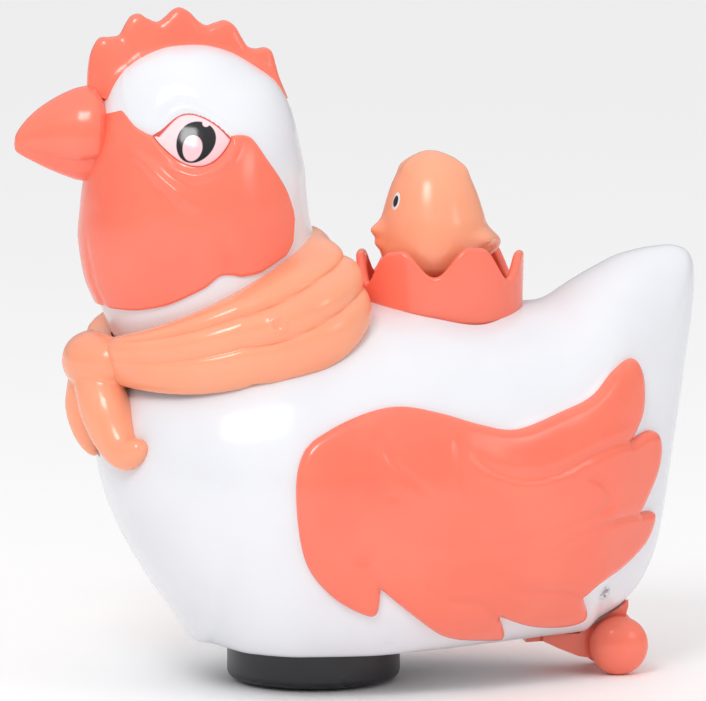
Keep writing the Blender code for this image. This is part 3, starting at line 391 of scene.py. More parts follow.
def body_top(x, y):
    """Height of the back above x, y."""
    wide, top, mid = (body(v, x) for v in (BODY_WIDTH, BODY_TOP, BODY_MID))
    reach = np.clip(np.abs(y) / np.maximum(wide, 1e-6), 0, 1)
    return mid + (top - mid) * (1 - reach ** FULLNESS) ** (1 / FULLNESS)


def body_half(side, columns=210, steps=130):
    """Sections at even steps of the station, each swept from the back's middle to the bottom's. The
    sweep slows down near both seams, where the edge turns in by a small radius."""
    u = np.linspace(0.008, 0.992, columns)
    x = BODY_FRONT + (BODY_BACK - BODY_FRONT) * (1 - np.cos(pi * u)) / 2
    wide, top, low, mid, rim = (body(v, x)[:, None] for v in
                                (BODY_WIDTH, BODY_TOP, BODY_LOW, BODY_MID, BODY_RIM))
    t = np.linspace(1, -1, steps)
    angle = (pi / 2 * (1.5 * t - 0.5 * t ** 3))[None, :]
    c, s = np.abs(np.cos(angle)) ** (2 / FULLNESS), np.abs(np.sin(angle)) ** (2 / FULLNESS)
    upper = angle > 0
    y = np.where(upper, wide * c, rim + (wide - rim) * c)
    z = np.where(upper, mid + (top - mid) * s, mid - (mid - low) * s)
    y[:, -1] = rim[:, 0]
    grid = np.stack([np.repeat(x[:, None], steps, axis=1), side * (y + SEAM_GAP), z], axis=2)
    return grid


def inner_wall(grid, side, depth=2.0):
    """The shell's inside: the outside moved in along its normals, never across the middle plane."""
    moved = grid - normals(grid) * depth * -side
    flat = np.abs(grid[:, :, 1]) < 0.3
    moved[:, :, 1] = np.where(flat, grid[:, :, 1], side * np.maximum(np.abs(moved[:, :, 1]), SEAM_GAP))
    return moved


# %% [markdown]
# The nest and the neck pass through the back. Two plain cutters and an exact Boolean make those
# holes, just as the mould's pins do, and the result is applied so that one clean mesh is left.

# %% Body halves with their two openings
NECK_TILT = radians(27)
NECK_AT = np.array([-47.7, 0.0, 131.3])
FORWARD = np.array([cos(NECK_TILT), 0, sin(NECK_TILT)])
UPWARD = np.array([-sin(NECK_TILT), 0, cos(NECK_TILT)])
SIDEWAYS = np.array([0, 1.0, 0])
NEST_X, NEST_RADIUS, NEST_FLOOR_Z, PETALS = 27.5, 24.5, 112.0, 6


def along_neck(a, y, s):
    """World point from the neck's own frame: a towards the back, y across, s up its axis."""
    a, y, s = np.broadcast_arrays(a, y, s)
    return NECK_AT + a[..., None] * FORWARD + y[..., None] * SIDEWAYS + s[..., None] * UPWARD


def lathe(profile, count=96):
    """A profile of (radius, height) turned about the z axis: x is radius times cosine, y radius times
    sine. Returns a grid with one loop for each profile point."""
    profile = np.asarray(profile, float)
    angle = np.arange(count) * 2 * pi / count
    r, h = profile[:, :1], profile[:, 1:]
    return np.stack([r * np.cos(angle), r * np.sin(angle), np.repeat(h, count, axis=1)], axis=2)


def cutter(name, grid):
    """A plain closed mesh for a Boolean, removed after use."""
    points, faces = loops(grid)
    mesh = bpy.data.meshes.new(name)
    mesh.from_pydata(points * MM, [], [tuple(row) for f in faces for row in f.tolist()])
    made = bpy.data.objects.new(name, mesh)
    bpy.context.scene.collection.objects.link(made)
    return made


def cut(target, tools, sharp=38.0):
    """Subtract the cutters, keep the result as the target's own mesh and remove them."""
    for item in tools:
        step = target.modifiers.new(item.name, 'BOOLEAN')
        step.operation, step.solver, step.object = 'DIFFERENCE', 'EXACT', item
    graph = bpy.context.evaluated_depsgraph_get()
    mesh = bpy.data.meshes.new_from_object(target.evaluated_get(graph))
    target.modifiers.clear()
    target.data = mesh
    mesh.shade_smooth()
    mesh.set_sharp_from_angle(angle=radians(sharp))
    for item in tools:
        bpy.data.objects.remove(item)


for side, name in ((-1, "body_left"), (1, "body_right")):
    outer = body_half(side)
    half = add_piece("shell_" + name, *shell(outer, inner_wall(outer, side)), "hen", [name], "white ABS")
    nest_hole = lathe([(NEST_RADIUS + 0.3, 100), (NEST_RADIUS + 0.3, 160)]) + np.array([NEST_X, 0, 0])
    neck_rings = lathe([(20.0, -45), (20.0, 10)], 64)
    neck_hole = along_neck(neck_rings[..., 0], neck_rings[..., 1], neck_rings[..., 2])
    cut(half, [cutter("nest_cut", nest_hole), cutter("neck_cut", neck_hole)])

# %% [markdown]
# ## The head
# The head is stacked along a neck axis that leans forward. Each ring is an ellipse with its own
# shift, length and width. A point on it has two coordinates: s, how far up the axis it is, and its
# turn in degrees from the front. Eyelids and ridges are hills on that map, added along the normal.

# %% The head's map
HEAD_S = [-8, 0, 10, 20, 30, 40, 50, 60, 67, 72, 74.5]
HEAD_SHIFT = [0, 0.5, 2.5, 5, 8, 11.8, 14.5, 15.2, 14.5, 13, 12.5]
HEAD_LONG = [36, 36.3, 37.5, 39, 38.7, 36.6, 32.5, 25.2, 18, 10, 0]
HEAD_WIDE = [36, 36.3, 36.5, 36.5, 36, 34, 30, 23.5, 17, 9.5, 0]
HEAD_TOP = 74.5


def head_skin(s, turn):
    """Bare head: shift - long cos(turn) along the neck plane, -wide sin(turn) across it."""
    turn = np.radians(turn)
    shift, long, wide = (hermite(HEAD_S, v, s) for v in (HEAD_SHIFT, HEAD_LONG, HEAD_WIDE))
    return along_neck(shift - long * np.cos(turn), -wide * np.sin(turn), s)


def head_point(s, turn, out):
    """Point on the head moved out along the normal, which is the cross product of two small steps."""
    s, turn = np.broadcast_arrays(np.asarray(s, float), np.asarray(turn, float))
    step = 0.2
    low, high = np.clip(s - step, -8, HEAD_TOP - 0.1), np.clip(s + step, -7.9, HEAD_TOP)
    normal = np.cross(head_skin(s, turn + step) - head_skin(s, turn - step),
                      head_skin(high, turn) - head_skin(low, turn))
    normal /= np.maximum(np.linalg.norm(normal, axis=-1, keepdims=True), 1e-9)
    return head_skin(s, turn) + normal * np.asarray(out)[..., None]


# %% Eye opening and lids
EYE_TURN, EYE_HALF_TURN, EYE_S, EYE_HALF_S, EYE_SLOPE = 87.0, 21.0, 48.3, 8.2, -0.275
EYE_ARCH = 0.6          # how much the upper lid's arch leans to the back
TURN_MM = 0.58          # millimetres across the cheek for one degree of turn, at the eye's height


def eye_half(off, upper):
    """Half-height of the almond: a parabola, times 1 plus a lean above the middle line."""
    return EYE_HALF_S * (1 - off ** 2) * np.where(upper, 1 + EYE_ARCH * off, 1.0)


def eye_off(s, turn):
    """Signed distance in mm from the almond's edge, negative inside. The almond is two parabolas round
    a sloping middle line, the upper one leaning back, and the height above the line is divided by the
    slope's length."""
    off = (np.abs(turn) - EYE_TURN) / EYE_HALF_TURN
    above = s - (EYE_S + EYE_SLOPE * EYE_HALF_TURN * off)
    half = eye_half(off, above > 0)
    steep = 2 * EYE_HALF_S * off / (EYE_HALF_TURN * TURN_MM)
    return (np.abs(above) - half) / np.sqrt(1 + steep ** 2)


def ridge(s, turn, path, width, ends=3.0):
    """A soft hill along a path of (s, turn) points: 1 on the path and fading to each side and past its
    ends. The distance is to the nearest of many points spaced evenly along the path."""
    path = np.asarray(path, float)
    along = np.linspace(0, len(path) - 1, 60)
    knots = np.arange(len(path))
    ps, pt = hermite(knots, path[:, 0], along), hermite(knots, path[:, 1], along)
    fade = np.clip(np.minimum(along, len(path) - 1 - along) * ends / len(path) + 0.15, 0, 1)
    best = np.zeros(np.broadcast(s, turn).shape)
    for a, b, strength in zip(ps, pt, fade):
        distance = np.hypot(s - a, (np.abs(turn) - b) * TURN_MM)
        best = np.maximum(best, strength * bell(distance, width))
    return best


def lid_hill(s, turn):
    """Upper eyelid: a rounded roll just outside the almond, and a dip for the eye inside."""
    off = eye_off(s, turn)
    side = (np.abs(turn) - EYE_TURN) / EYE_HALF_TURN
    above = np.clip((s - (EYE_S + EYE_SLOPE * EYE_HALF_TURN * side)) / 2.5, 0, 1)
    near = bell(side, 1.2) * above
    roll = 1.7 * bell(off - 1.2, 2.2)
    dip = 1.7 * bell(1.2, 2.2) - 1.0 * round_edge(-off, 1.2)
    return near * np.where(off > 0, roll, dip)


# %% Head halves
def head_half(side, rows=150, columns=170):
    """Rings from under the collar to the crown, bunched where the crown closes."""
    s = -7 + (HEAD_TOP - 0.3 + 7) * np.sin(np.linspace(0, pi / 2, rows)) ** 1.0
    t = np.linspace(-1, 1, columns)
    turn = side * (90 + 90 * (1.5 * t - 0.5 * t ** 3))
    s, turn = s[:, None], turn[None, :]
    crease = ridge(s, turn, [(59.5, 70.0), (61.6, 90.0), (55.0, 108.0)], 2.2)
    crown = 1.7 * (0.5 - 0.5 * np.cos(pi * np.clip((s - 52) / 16, 0, 1)))
    outer = head_point(s, turn, lid_hill(s, turn) - 0.7 * crease + crown)
    inner = head_point(np.minimum(s, 73.0), turn, np.full(np.broadcast(s, turn).shape, -2.0))
    for grid in (outer, inner):
        grid[:, :, 1] = -side * (np.abs(grid[:, :, 1]) + SEAM_GAP)
    return outer, inner


for side, name in ((1, "head_left"), (-1, "head_right")):
    add_piece("skull_" + name, *shell(*head_half(side)), "head", [name], "white ABS")

# %% [markdown]
# ## The face
# The coral face is a separate moulding that wraps the front of the head, from the neck to the eyes
# and up the forehead. It lies on the same map as the head, between a lower and an upper edge, and it
# is 2 mm proud with a rounded edge. Cheek ridges and the lower lid catch the light.

# %% Face mask
FACE_LOW = [(0, 10.0), (9, 10.0), (24, 8.6), (43, 6.2), (62, 4.8), (78, 5.0), (88, 6.2), (93, 5.0),
            (99, 2.6), (111, 0.7), (125, 0.7), (133, 2.6), (138.6, 9.0)]
FACE_HIGH = [(0, 73.4), (14, 72.4), (27, 69.8), (40, 66.2), (48.5, 62.6), (54, 58.9), (60, 56.3),
             (64.5, 54.6),
             (107.5, 43.6), (113, 42.4), (118.2, 40.4), (125, 32.0), (132.8, 22.1), (138.6, 12.0)]
CHEEK_RIDGE = [(52.6, 50.5), (46.8, 60.7), (39.8, 70.2), (33.9, 78.1), (29.4, 83.6)]
UNDER_EYE = [(45.2, 69.0), (40.9, 78.0), (37.3, 88.0), (36.6, 97.0), (38.0, 104.5), (41.0, 111.0)]
FACE_FOLD = [(7.0, 90.0), (12.3, 93.8), (18.0, 96.0)]


def face_edges(turn):
    """Lower and upper edge of the mask at a turn. Under the eye the upper edge follows the almond."""
    turn = np.abs(turn)
    low = hermite(*zip(*FACE_LOW), turn)
    high = hermite(*zip(*FACE_HIGH), turn)
    off = (turn - EYE_TURN) / EYE_HALF_TURN
    lid = EYE_S + EYE_SLOPE * EYE_HALF_TURN * off - EYE_HALF_S * (1 - off ** 2) - 0.05
    return low, np.where(np.abs(off) < 1.0, np.minimum(high, lid), high)


def face_height(s, turn, low, high):
    """Height of the mask: a quarter-round edge up to 2 mm, then ridges and a shallow fold."""
    slope_low = np.gradient(low[:, 0], turn[:, 0] * TURN_MM)[:, None]
    slope_high = np.gradient(high[:, 0], turn[:, 0] * TURN_MM)[:, None]
    edge = np.minimum((s - low) / np.hypot(1, slope_low), (high - s) / np.hypot(1, slope_high))
    side_edge = (138.6 - np.abs(turn)) * TURN_MM
    edge = np.minimum(edge, side_edge)
    at_eye = bell((np.abs(turn) - EYE_TURN) / EYE_HALF_TURN, 1.0) * np.clip((s - 35) / 5, 0, 1)
    body_height = 0.2 + 1.25 * np.maximum(round_edge(edge, 1.2), at_eye)
    jowl = 0.4 * bell(np.hypot(s - 21, (np.abs(turn) - 112) * 0.6), 14)
    relief = (1.7 * ridge(s, turn, CHEEK_RIDGE, 1.5) + 1.4 * ridge(s, turn, UNDER_EYE, 1.5)
              - 0.5 * ridge(s, turn, FACE_FOLD, 2.0) + jowl)
    front_lip = 0.6 * bell((np.abs(turn) - 14) * TURN_MM, 1.6) * np.clip((34 - s) / 10, 0, 1)
    return body_height + relief * round_edge(edge, 3.0) - front_lip * round_edge(edge, 3.0)


def make_face():
    """Columns every 0.6 degrees of turn, each from the lower edge to the upper one."""
    turn = np.linspace(-138.6, 138.6, 460)[:, None]
    low, high = face_edges(turn)
    share = (1 - np.cos(np.linspace(0, pi, 90)))[None, :] / 2
    s = low + (high - low) * share
    outer = head_point(s, turn, face_height(s, turn, low, high))
    inner = head_point(s, turn, np.full(s.shape, -0.6))
    return add_piece("face", *shell(outer, inner), "head", ["face_mask"], "coral ABS")


make_face()

# %% [markdown]
# ## The beak
# The beak is hollow and hooked, moulded with the face. It is a loft: ellipses whose centre, height
# and width change along x, with a sharp little groove where the bills meet and a lower bill that is
# narrower than the upper one.

# %% Beak
BEAK_X = [-80, -86, -90.5, -94.5, -100.5, -105.5, -109.2, -110.6, -110.9]
BEAK_LOW = [168.5, 163.6, 164.2, 165.6, 168.2, 170.8, 172.9, 174.2, 175.6]
BEAK_HIGH = [187.5, 194.6, 193.9, 192.4, 189.2, 185.4, 181.2, 178.6, 176.6]
BEAK_HALF = [8.5, 12.6, 12.0, 10.6, 8.1, 5.7, 3.3, 1.7, 0.4]
MOUTH_X, MOUTH_Z = [-111, -107, -99, -92, -84], [175.8, 174.6, 173.2, 172.2, 172.8]


def make_beak():
    """For each x, y = half cos(t) and z = middle + half height sin(t), pinched in near the mouth."""
    u = np.linspace(0, 1, 110)
    x = -80 - 30.9 * np.sin(u * pi / 2)
    keys = -np.array(BEAK_X)
    low, high, half = (hermite(keys, v, -x)[:, None] for v in (BEAK_LOW, BEAK_HIGH, BEAK_HALF))
    t = np.arange(160) * 2 * pi / 160
    y, z = half * np.cos(t), (low + high) / 2 + (high - low) / 2 * np.sin(t)
    mouth = hermite(MOUTH_X, MOUTH_Z, x)[:, None]
    below = np.clip((mouth - z) / 2.0, 0, 1)
    depth = np.clip(half / 6.0, 0, 1)
    pinch = 1 - below * 0.16 * depth - 0.13 * depth * bell(z - mouth + 0.4, 0.8)
    grid = np.stack([np.repeat(x[:, None], 160, axis=1), y * pinch, z], axis=2)
    return add_piece("beak", *loops(grid), "head", ["face_mask"], "coral ABS")


make_beak()

# %% [markdown]
# ## The comb
# The comb stands on the head's seam. In outline it is a row of lobes; across, it is a puffed leaf,
# thick at the root and round at the rim. In polar terms, each direction from the head's middle has an
# inner radius at the crown and an outer one at the lobes, and the thickness falls from one to the other.

# %% Comb
COMB = [(-87.4, 193.2), (-87.0, 200.0), (-85.9, 205.4), (-83.4, 209.6), (-80.1, 210.0), (-76.9, 210.6),
        (-75.0, 213.8), (-73.0, 216.6), (-70.4, 217.3), (-67.8, 215.8), (-64.6, 214.6), (-62.0, 216.1),
        (-59.7, 218.2), (-57.2, 219.1), (-54.2, 217.6), (-51.6, 214.9), (-48.7, 213.2), (-45.8, 214.0),
        (-42.6, 214.7), (-39.7, 213.0), (-37.4, 209.2), (-35.5, 206.4), (-32.9, 205.4), (-29.6, 205.7),
        (-27.6, 204.4), (-26.4, 200.4), (-25.1, 195.9), (-22.6, 189.8)]
COMB_CENTRE = np.array([-57.0, 178.0])


def curve(points, per_span=12, closed=False):
    """Catmull-Rom curve: each span is a cubic whose end slopes are half the step across its ends."""
    p = np.asarray(points, float)
    p = np.vstack([p[-1:], p, p[:2]]) if closed else np.vstack([2 * p[0] - p[1], p, 2 * p[-1] - p[-2]])
    a, b, c, d = p[:-3, None], p[1:-2, None], p[2:-1, None], p[3:, None]
    t = (np.arange(per_span) / per_span)[None, :, None]
    spans = 0.5 * (2 * b + (c - a) * t + (2 * a - 5 * b + 4 * c - d) * t ** 2
                   + (3 * b - a - 3 * c + d) * t ** 3)
    path = spans.reshape(-1, p.shape[1])
    return path if closed else np.vstack([path, np.asarray(points, float)[-1:]])


def polar(points):
    """Angle round the head's middle, from the back over the crown, and the distance from it."""
    offset = points - COMB_CENTRE
    return np.arctan2(offset[:, 1], offset[:, 0]), np.hypot(*offset.T)


def crown_radius(angle):
    """Distance from the middle to the bare head in its middle plane, read from the front and back
    profiles."""
    s = np.linspace(20, HEAD_TOP, 160)
    level = np.zeros(len(s))
    profile = np.vstack([head_point(s, level + 180, level)[:, [0, 2]],
                         head_point(s[::-1], level, level)[:, [0, 2]]])
    a, r = polar(profile)
    order = np.argsort(a)
    return np.interp(angle, a[order], r[order])


def make_comb():
    """Loops round the leaf: out along the left face, over the rim and back along the right face."""
    rim_angle, rim_radius = polar(curve(COMB, 14))
    order = np.argsort(rim_angle)
    angle = np.linspace(rim_angle.min(), rim_angle.max(), 420)
    outer = np.interp(angle, rim_angle[order], rim_radius[order])
    inner = crown_radius(angle) - 1.6
    outer = np.maximum(outer, inner + 0.8)
    t = np.linspace(0, pi, 56)
    out = (np.sin(t) ** 0.85)[None, :]
    across = np.cos(t)[None, :]
    tall = np.clip((outer - inner) / 14.0, 0, 1)[:, None]
    radius = inner[:, None] + (outer - inner)[:, None] * out
    front_skirt = 3.0 * bell((angle - rim_angle.max()) / 0.55, 1.0)[:, None] * (1 - out) ** 1.5
    half = (3.5 + 0.5 * tall) * np.sign(across) * np.abs(across) ** 0.5
    fillet = 1.3 * bell(out * (outer - inner)[:, None] - 1.2, 1.8) * across
    half = half + front_skirt * across + fillet
    x = COMB_CENTRE[0] + radius * np.cos(angle)[:, None]
    z = COMB_CENTRE[1] + radius * np.sin(angle)[:, None]
    return add_piece("comb_leaf", *loops(np.stack([x, half, z], axis=2)), "head", ["comb"], "coral ABS")


make_comb()

# %% [markdown]
# ## The eyes
# Each eye is a smooth insert that bulges a little inside its lids. Its own map in millimetres is
# written as a UV layer, and a second attribute marks the thin coloured line along its edge.

# %% Eye inserts
def eye_piece(side, name):
    """Across the almond by turn and share, raised as a low dome."""
    off = np.sin(np.linspace(-pi / 2, pi / 2, 90))[:, None]
    share = np.sin(np.linspace(-pi / 2, pi / 2, 48))[None, :]
    half = eye_half(off, share > 0) + 0.3
    middle = EYE_S + EYE_SLOPE * EYE_HALF_TURN * off
    s, turn = middle + half * share, EYE_TURN + EYE_HALF_TURN * 1.01 * off + 0 * share
    dome = 0.15 + 1.15 * np.sqrt(np.clip(1 - off ** 2, 0, 1) * np.clip(1 - share ** 2, 0, 1)) ** 0.8
    outer = head_point(s, side * turn, dome)
    inner = head_point(s, side * turn, np.full(s.shape, -0.4))
    made = add_piece(name, *shell(outer, inner), "head", [name.replace("print_", "")], "eye")
    flat = np.stack([(turn - EYE_TURN) * TURN_MM, s - EYE_S], axis=2).reshape(-1, 2)
    flat = np.tile(flat, (2, 1))
    corner = np.zeros(len(made.data.loops), int)
    made.data.loops.foreach_get("vertex_index", corner)
    layer = made.data.uv_layers.new(name="eye_mm")
    layer.data.foreach_set("uv", flat[corner].ravel())
    edge = -eye_off(s, turn)
    width = np.where(share > 0, 1.15, 0.5)
    line = np.clip((width - edge) / 0.25, 0, 1)
    mark = made.data.attributes.new("lid_line", 'FLOAT', 'POINT')
    mark.data.foreach_set("value", np.tile(line.ravel(), 2))
    return made


for side, name in ((1, "print_eye_left"), (-1, "print_eye_right")):
    eye_piece(side, name)

# %% [markdown]
# ## The scarf
# The scarf is a hard moulding that pretends to be cloth: three soft rolls run round the neck and
# flatten towards the knot. Each direction round the neck has a top point on a tilted circle and a
# low point on a wider loop on the back, and a section bulges out between them.

# %% Scarf ring
SCARF_TOP_RADIUS = 37.4
GATE_AT = np.array([-33.9, -49.7, 122.6])


def on_back(points):
    """Height of the back under each point, or far below where the point is beside the body."""
    x, y = points[..., 0], points[..., 1]
    inside_body = (x > BODY_FRONT + 0.5) & (np.abs(y) < body(BODY_WIDTH, x))
    return np.where(inside_body, body_top(np.clip(x, BODY_FRONT, BODY_BACK), y), 0.0)


def keep_off_neck(points, extra=0.1):
    """Push points out to the neck's clearance circle, plus an extra distance."""
    offset = points - NECK_AT
    a, y = offset @ FORWARD, points[..., 1]
    radius = np.hypot(a, y)
    grow = np.maximum(SCARF_TOP_RADIUS + extra - radius, 0) / np.maximum(radius, 1e-6)
    return points + (a * grow)[..., None] * FORWARD + (y * grow)[..., None] * SIDEWAYS


def make_scarf_ring():
    """Outer section from top to bottom: a sine bulge plus three rolls, the square root of |sin| of
    three half-turns, which has round tops and sharp valleys. The back of the section is plain."""
    turn = (np.arange(560) * 2 * pi / 560)[:, None]
    c, s = np.cos(turn), np.sin(turn)
    power = np.where(c > 0, 0.5, 1.0)
    c_low, s_low = np.sign(c) * np.abs(c) ** power, np.sign(s) * np.abs(s) ** power
    top = along_neck(SCARF_TOP_RADIUS * c, SCARF_TOP_RADIUS * s, 0.0)
    low = np.stack([-42.5 + 44.5 * c_low, 47.5 * s_low, 104.0 + 9.8 * c + 7.9 * c * c], axis=2)
    out = np.stack([c, s, 0.55 + 0 * c], axis=2)
    front, back = bell(1 + c, 0.09), bell(1 - c, 0.09)
    share = np.linspace(0, 1, 96)[None, :]
    height = 6.5 + 2.0 * bell(c - 0.6, 0.45) - 4.0 * front - 5.5 * back
    lift = np.sin(pi * share ** 0.8) * height
    strength = np.clip((c + 0.93) / 0.75, 0, 1) ** 0.7
    skew = share + 0.05 * np.sin(pi * share) * np.clip(c, 0, 1)
    rolls = np.sqrt(np.abs(np.sin(3 * pi * skew)) + 0.02) - 0.75
    rim = round_edge(np.minimum(share, 1 - share) * 30.0, 2.2) - 1
    lift = lift + 2.1 * strength * rolls + 1.6 * rim
    outer = top + (low - top) * share[..., None] + out * lift[..., None]
    back_share = np.linspace(1, 0, 26)[None, 1:-1]
    inner_lift = np.sin(pi * back_share ** 0.8) * height - 4.2
    inner = keep_off_neck(top + (low - top) * back_share[..., None] + out * inner_lift[..., None])
    near = np.hypot(outer[..., 0] - GATE_AT[0], outer[..., 2] - GATE_AT[2])
    nudge = (0.55 * bell(near - 2.2, 0.9) - 0.5 * bell(near, 1.3)) * (outer[..., 1] < -20)
    outer = outer + out * nudge[..., None]
    for grid in (outer, inner):
        grid[..., 2] = np.maximum(grid[..., 2], on_back(grid) + 0.15)
    return add_piece("scarf_folds", *loops(np.concatenate([outer, inner], axis=1), ring=True), "hen",
                     ["scarf_ring"], "peach ABS")


make_scarf_ring()

# %% [markdown]
# The knot and its two tails have no neat formula: they are lumps that run into each other. So they
# are built as chains of spheres along curves, joined by a voxel remesh and smoothed, the way a
# sculptor roughs out clay. The result is applied, and one smooth mesh is left.

# %% Knot and tails
KNOT_CHAINS = [
    # each row: x, y, z, radius
    [(-83.0, -16.0, 107.5, 8.4), (-86.4, -10.0, 107.0, 9.6), (-87.2, -3.0, 106.5, 9.2),
     (-84.5, 4.5, 107.0, 8.4)],
    [(-86.6, -12.5, 101.5, 7.6), (-84.5, -18.0, 93.0, 8.5), (-82.0, -22.5, 85.0, 7.6),
     (-79.8, -27.5, 80.0, 6.0), (-78.0, -31.5, 80.2, 4.8), (-76.6, -33.6, 81.6, 3.8)],
    [(-88.6, 0.5, 98.0, 5.6), (-88.8, 2.6, 91.0, 5.8), (-87.6, 3.8, 84.5, 5.2), (-86.2, 4.2, 80.0, 4.2),
     (-85.0, 4.0, 77.0, 3.0)],
]


def ball(centre, radius, rings=14, count=22):
    """Sphere as loops: radius times sine of the latitude round, and times its cosine up."""
    t = np.linspace(0, pi, rings + 2)[1:-1]
    return lathe(np.stack([radius * np.sin(t), -radius * np.cos(t)], axis=1), count) + np.asarray(centre)


KNOT_CLEARANCE = 3.4     # past the neck's circle, so that the turning head passes


def make_knot():
    """Spheres along each chain, close enough to blend, remeshed as one skin and kept off the head."""
    points, faces, start = [], [], 0
    for chain in KNOT_CHAINS:
        for row in curve(chain, 5):
            p, f = loops(ball(row[:3], row[3]))
            points.append(p)
            faces += [g + start for g in f]
            start += len(p)
    quads = np.concatenate([f for f in faces if f.shape[1] == 4])
    caps = np.concatenate([f for f in faces if f.shape[1] == 3])
    knot = add_piece("scarf_bow", np.concatenate(points), [quads, caps], "hen", ["scarf_knot"], "peach ABS")
    remesh = knot.modifiers.new("skin", 'REMESH')
    remesh.mode, remesh.voxel_size = 'VOXEL', 0.7 * MM
    smooth = knot.modifiers.new("soften", 'SMOOTH')
    smooth.factor, smooth.iterations = 0.5, 14
    graph = bpy.context.evaluated_depsgraph_get()
    mesh = bpy.data.meshes.new_from_object(knot.evaluated_get(graph))
    knot.modifiers.clear()
    knot.data = mesh
    flat = np.empty(len(mesh.vertices) * 3)
    mesh.vertices.foreach_get("co", flat)
    clear = keep_off_neck(flat.reshape(-1, 3) / MM, KNOT_CLEARANCE)
    mesh.vertices.foreach_set("co", clear.ravel() * MM)
    mesh.shade_smooth()
    return knot


make_knot()

# %% [markdown]
# ## The wings
# Each wing is a thin moulded panel that lies on the flank. It is drawn flat as an outline, filled
# with small triangles, and then laid on the body: each point is moved out along the body's normal by
# the wing's height there. The height is a rounded edge plus the soft creases between feathers.

# %% Wing outline and creases
WING = [(-29.8, 70), (-27, 83), (-18.5, 89.5), (-6, 94.5), (5, 96), (18, 93.5), (31, 89.5), (43, 87.5),
        (59, 92), (69.5, 96), (77, 103), (83.5, 106.5), (87, 103.5), (88.4, 97), (87.5, 88), (83, 80.5),
        (91, 82.5), (95, 78.5), (94, 68.5), (87.5, 56), (93.5, 54.5), (91, 46), (82, 38.5), (73, 34),
        (68, 30), (70.5, 22.5), (64, 20), (51, 21.5), (38.5, 26.5), (41.5, 18.5), (33, 18.5), (19.5, 21.5),
        (6.5, 31), (-2.4, 38.6), (-3.3, 30.5), (-8, 30.5), (-18.5, 37), (-27, 49)]
NOTCHES = [(83, 80.5), (87.5, 56), (68, 30), (38.5, 26.5), (-2.4, 38.6)]
CREASES = [
    # each: path from its strong end to its faint end, and depth in mm
    ([(83.0, 80.5), (76.0, 80.0), (66.4, 77.0), (57.5, 73.6), (46.8, 72.0), (37.3, 73.9), (29.6, 78.0),
      (24.6, 83.0)], 0.75),
    ([(64.6, 72.2), (71.9, 68.2), (74.4, 62.1), (66.7, 57.0), (50.6, 53.1), (33.1, 51.4), (16.0, 51.9),
      (-0.9, 56.7), (-13.3, 63.2)], 0.55),
    ([(87.5, 56.0), (79.0, 56.0), (70.9, 54.1), (60.6, 50.9), (53.5, 47.3)], 0.7),
    ([(68.0, 30.0), (60.0, 33.6), (51.6, 35.0), (42.6, 36.3), (35.3, 40.3), (28.1, 45.0)], 0.7),
    ([(38.5, 26.5), (30.6, 32.4), (20.9, 34.3), (12.2, 38.2), (3.5, 45.3)], 0.7),
    ([(-2.4, 38.6), (-5.0, 45.0), (-3.3, 52.2)], 0.5),
    ([(-11.5, 49.1), (-7.4, 48.6), (-3.3, 52.2)], 0.6),
    ([(-4.6, 86.4), (-5.3, 79.2), (-6.2, 70.8)], 0.5),
    ([(-2.9, 86.7), (1.0, 79.1), (12.5, 69.0)], 0.5),
    ([(22.0, 84.7), (22.7, 75.9), (23.5, 66.0)], 0.5),
]
DIMPLES = [(0.8, 68.6), (28.1, 45.0), (72.3, 53.5), (-7.4, 49.0)]


def nearest(points, path):
    """Distance from each point to a polyline, and how far along it the nearest place is, 0 to 1."""
    best = np.full(len(points), 1e9)
    place = np.zeros(len(points))
    for k in range(len(path) - 1):
        a, b = path[k], path[k + 1]
        t = np.clip((points - a) @ (b - a) / max(float((b - a) @ (b - a)), 1e-9), 0, 1)
        d = np.hypot(*(points - a - t[:, None] * (b - a)).T)
        closer = d < best
        best[closer] = d[closer]
        place[closer] = (k + t[closer]) / (len(path) - 1)
    return best, place


def wing_relief(flat, outline):
    """Rounded edge, then each crease as a valley with a low swelling beside it, fading along."""
    edge, _ = nearest(flat, np.vstack([outline, outline[:1]]))
    height = 0.35 + 2.45 * round_edge(edge, 3.2)
    inner = round_edge(edge, 2.0)
    for path, depth in CREASES:
        d, along = nearest(flat, curve(path, 6))
        fade = np.clip(1.25 * (1 - along) + 0.12, 0, 1) * np.clip(0.5 + along * 6, 0, 1)
        height -= inner * depth * fade * (bell(d, 1.1) - 0.38 * bell(d - 3.2, 2.2))
    for spot in DIMPLES:
        height -= 0.35 * bell(np.hypot(*(flat - spot).T), 1.1)
    return height


# %% Wing panels
def signed_area(outline):
    """Half the sum of cross products round a closed outline: positive anticlockwise."""
    x, y = outline.T
    return 0.5 * float(np.sum(x * np.roll(y, -1) - np.roll(x, -1) * y))


def inside_outline(points, outline):
    """True where a ray to the right crosses the outline an odd number of times."""
    hits = np.zeros(len(points), int)
    for a, b in zip(outline, np.roll(outline, -1, axis=0)):
        between = (a[1] > points[:, 1]) != (b[1] > points[:, 1])
        rise = b[1] - a[1] if b[1] != a[1] else 1.0
        hits += between & (a[0] + (points[:, 1] - a[1]) / rise * (b[0] - a[0]) > points[:, 0])
    return hits % 2 == 1


def wing_outline():
    """Smooth curve through the outline's points, kept sharp at the notches between feathers."""
    spans, current = [], []
    start = next(k for k, p in enumerate(WING) if p in NOTCHES)
    for p in WING[start:] + WING[:start + 1]:
        current.append(p)
        if p in NOTCHES and len(current) > 1:
            spans.append(curve(current, 7)[:-1])
            current = [p]
    return np.vstack(spans)


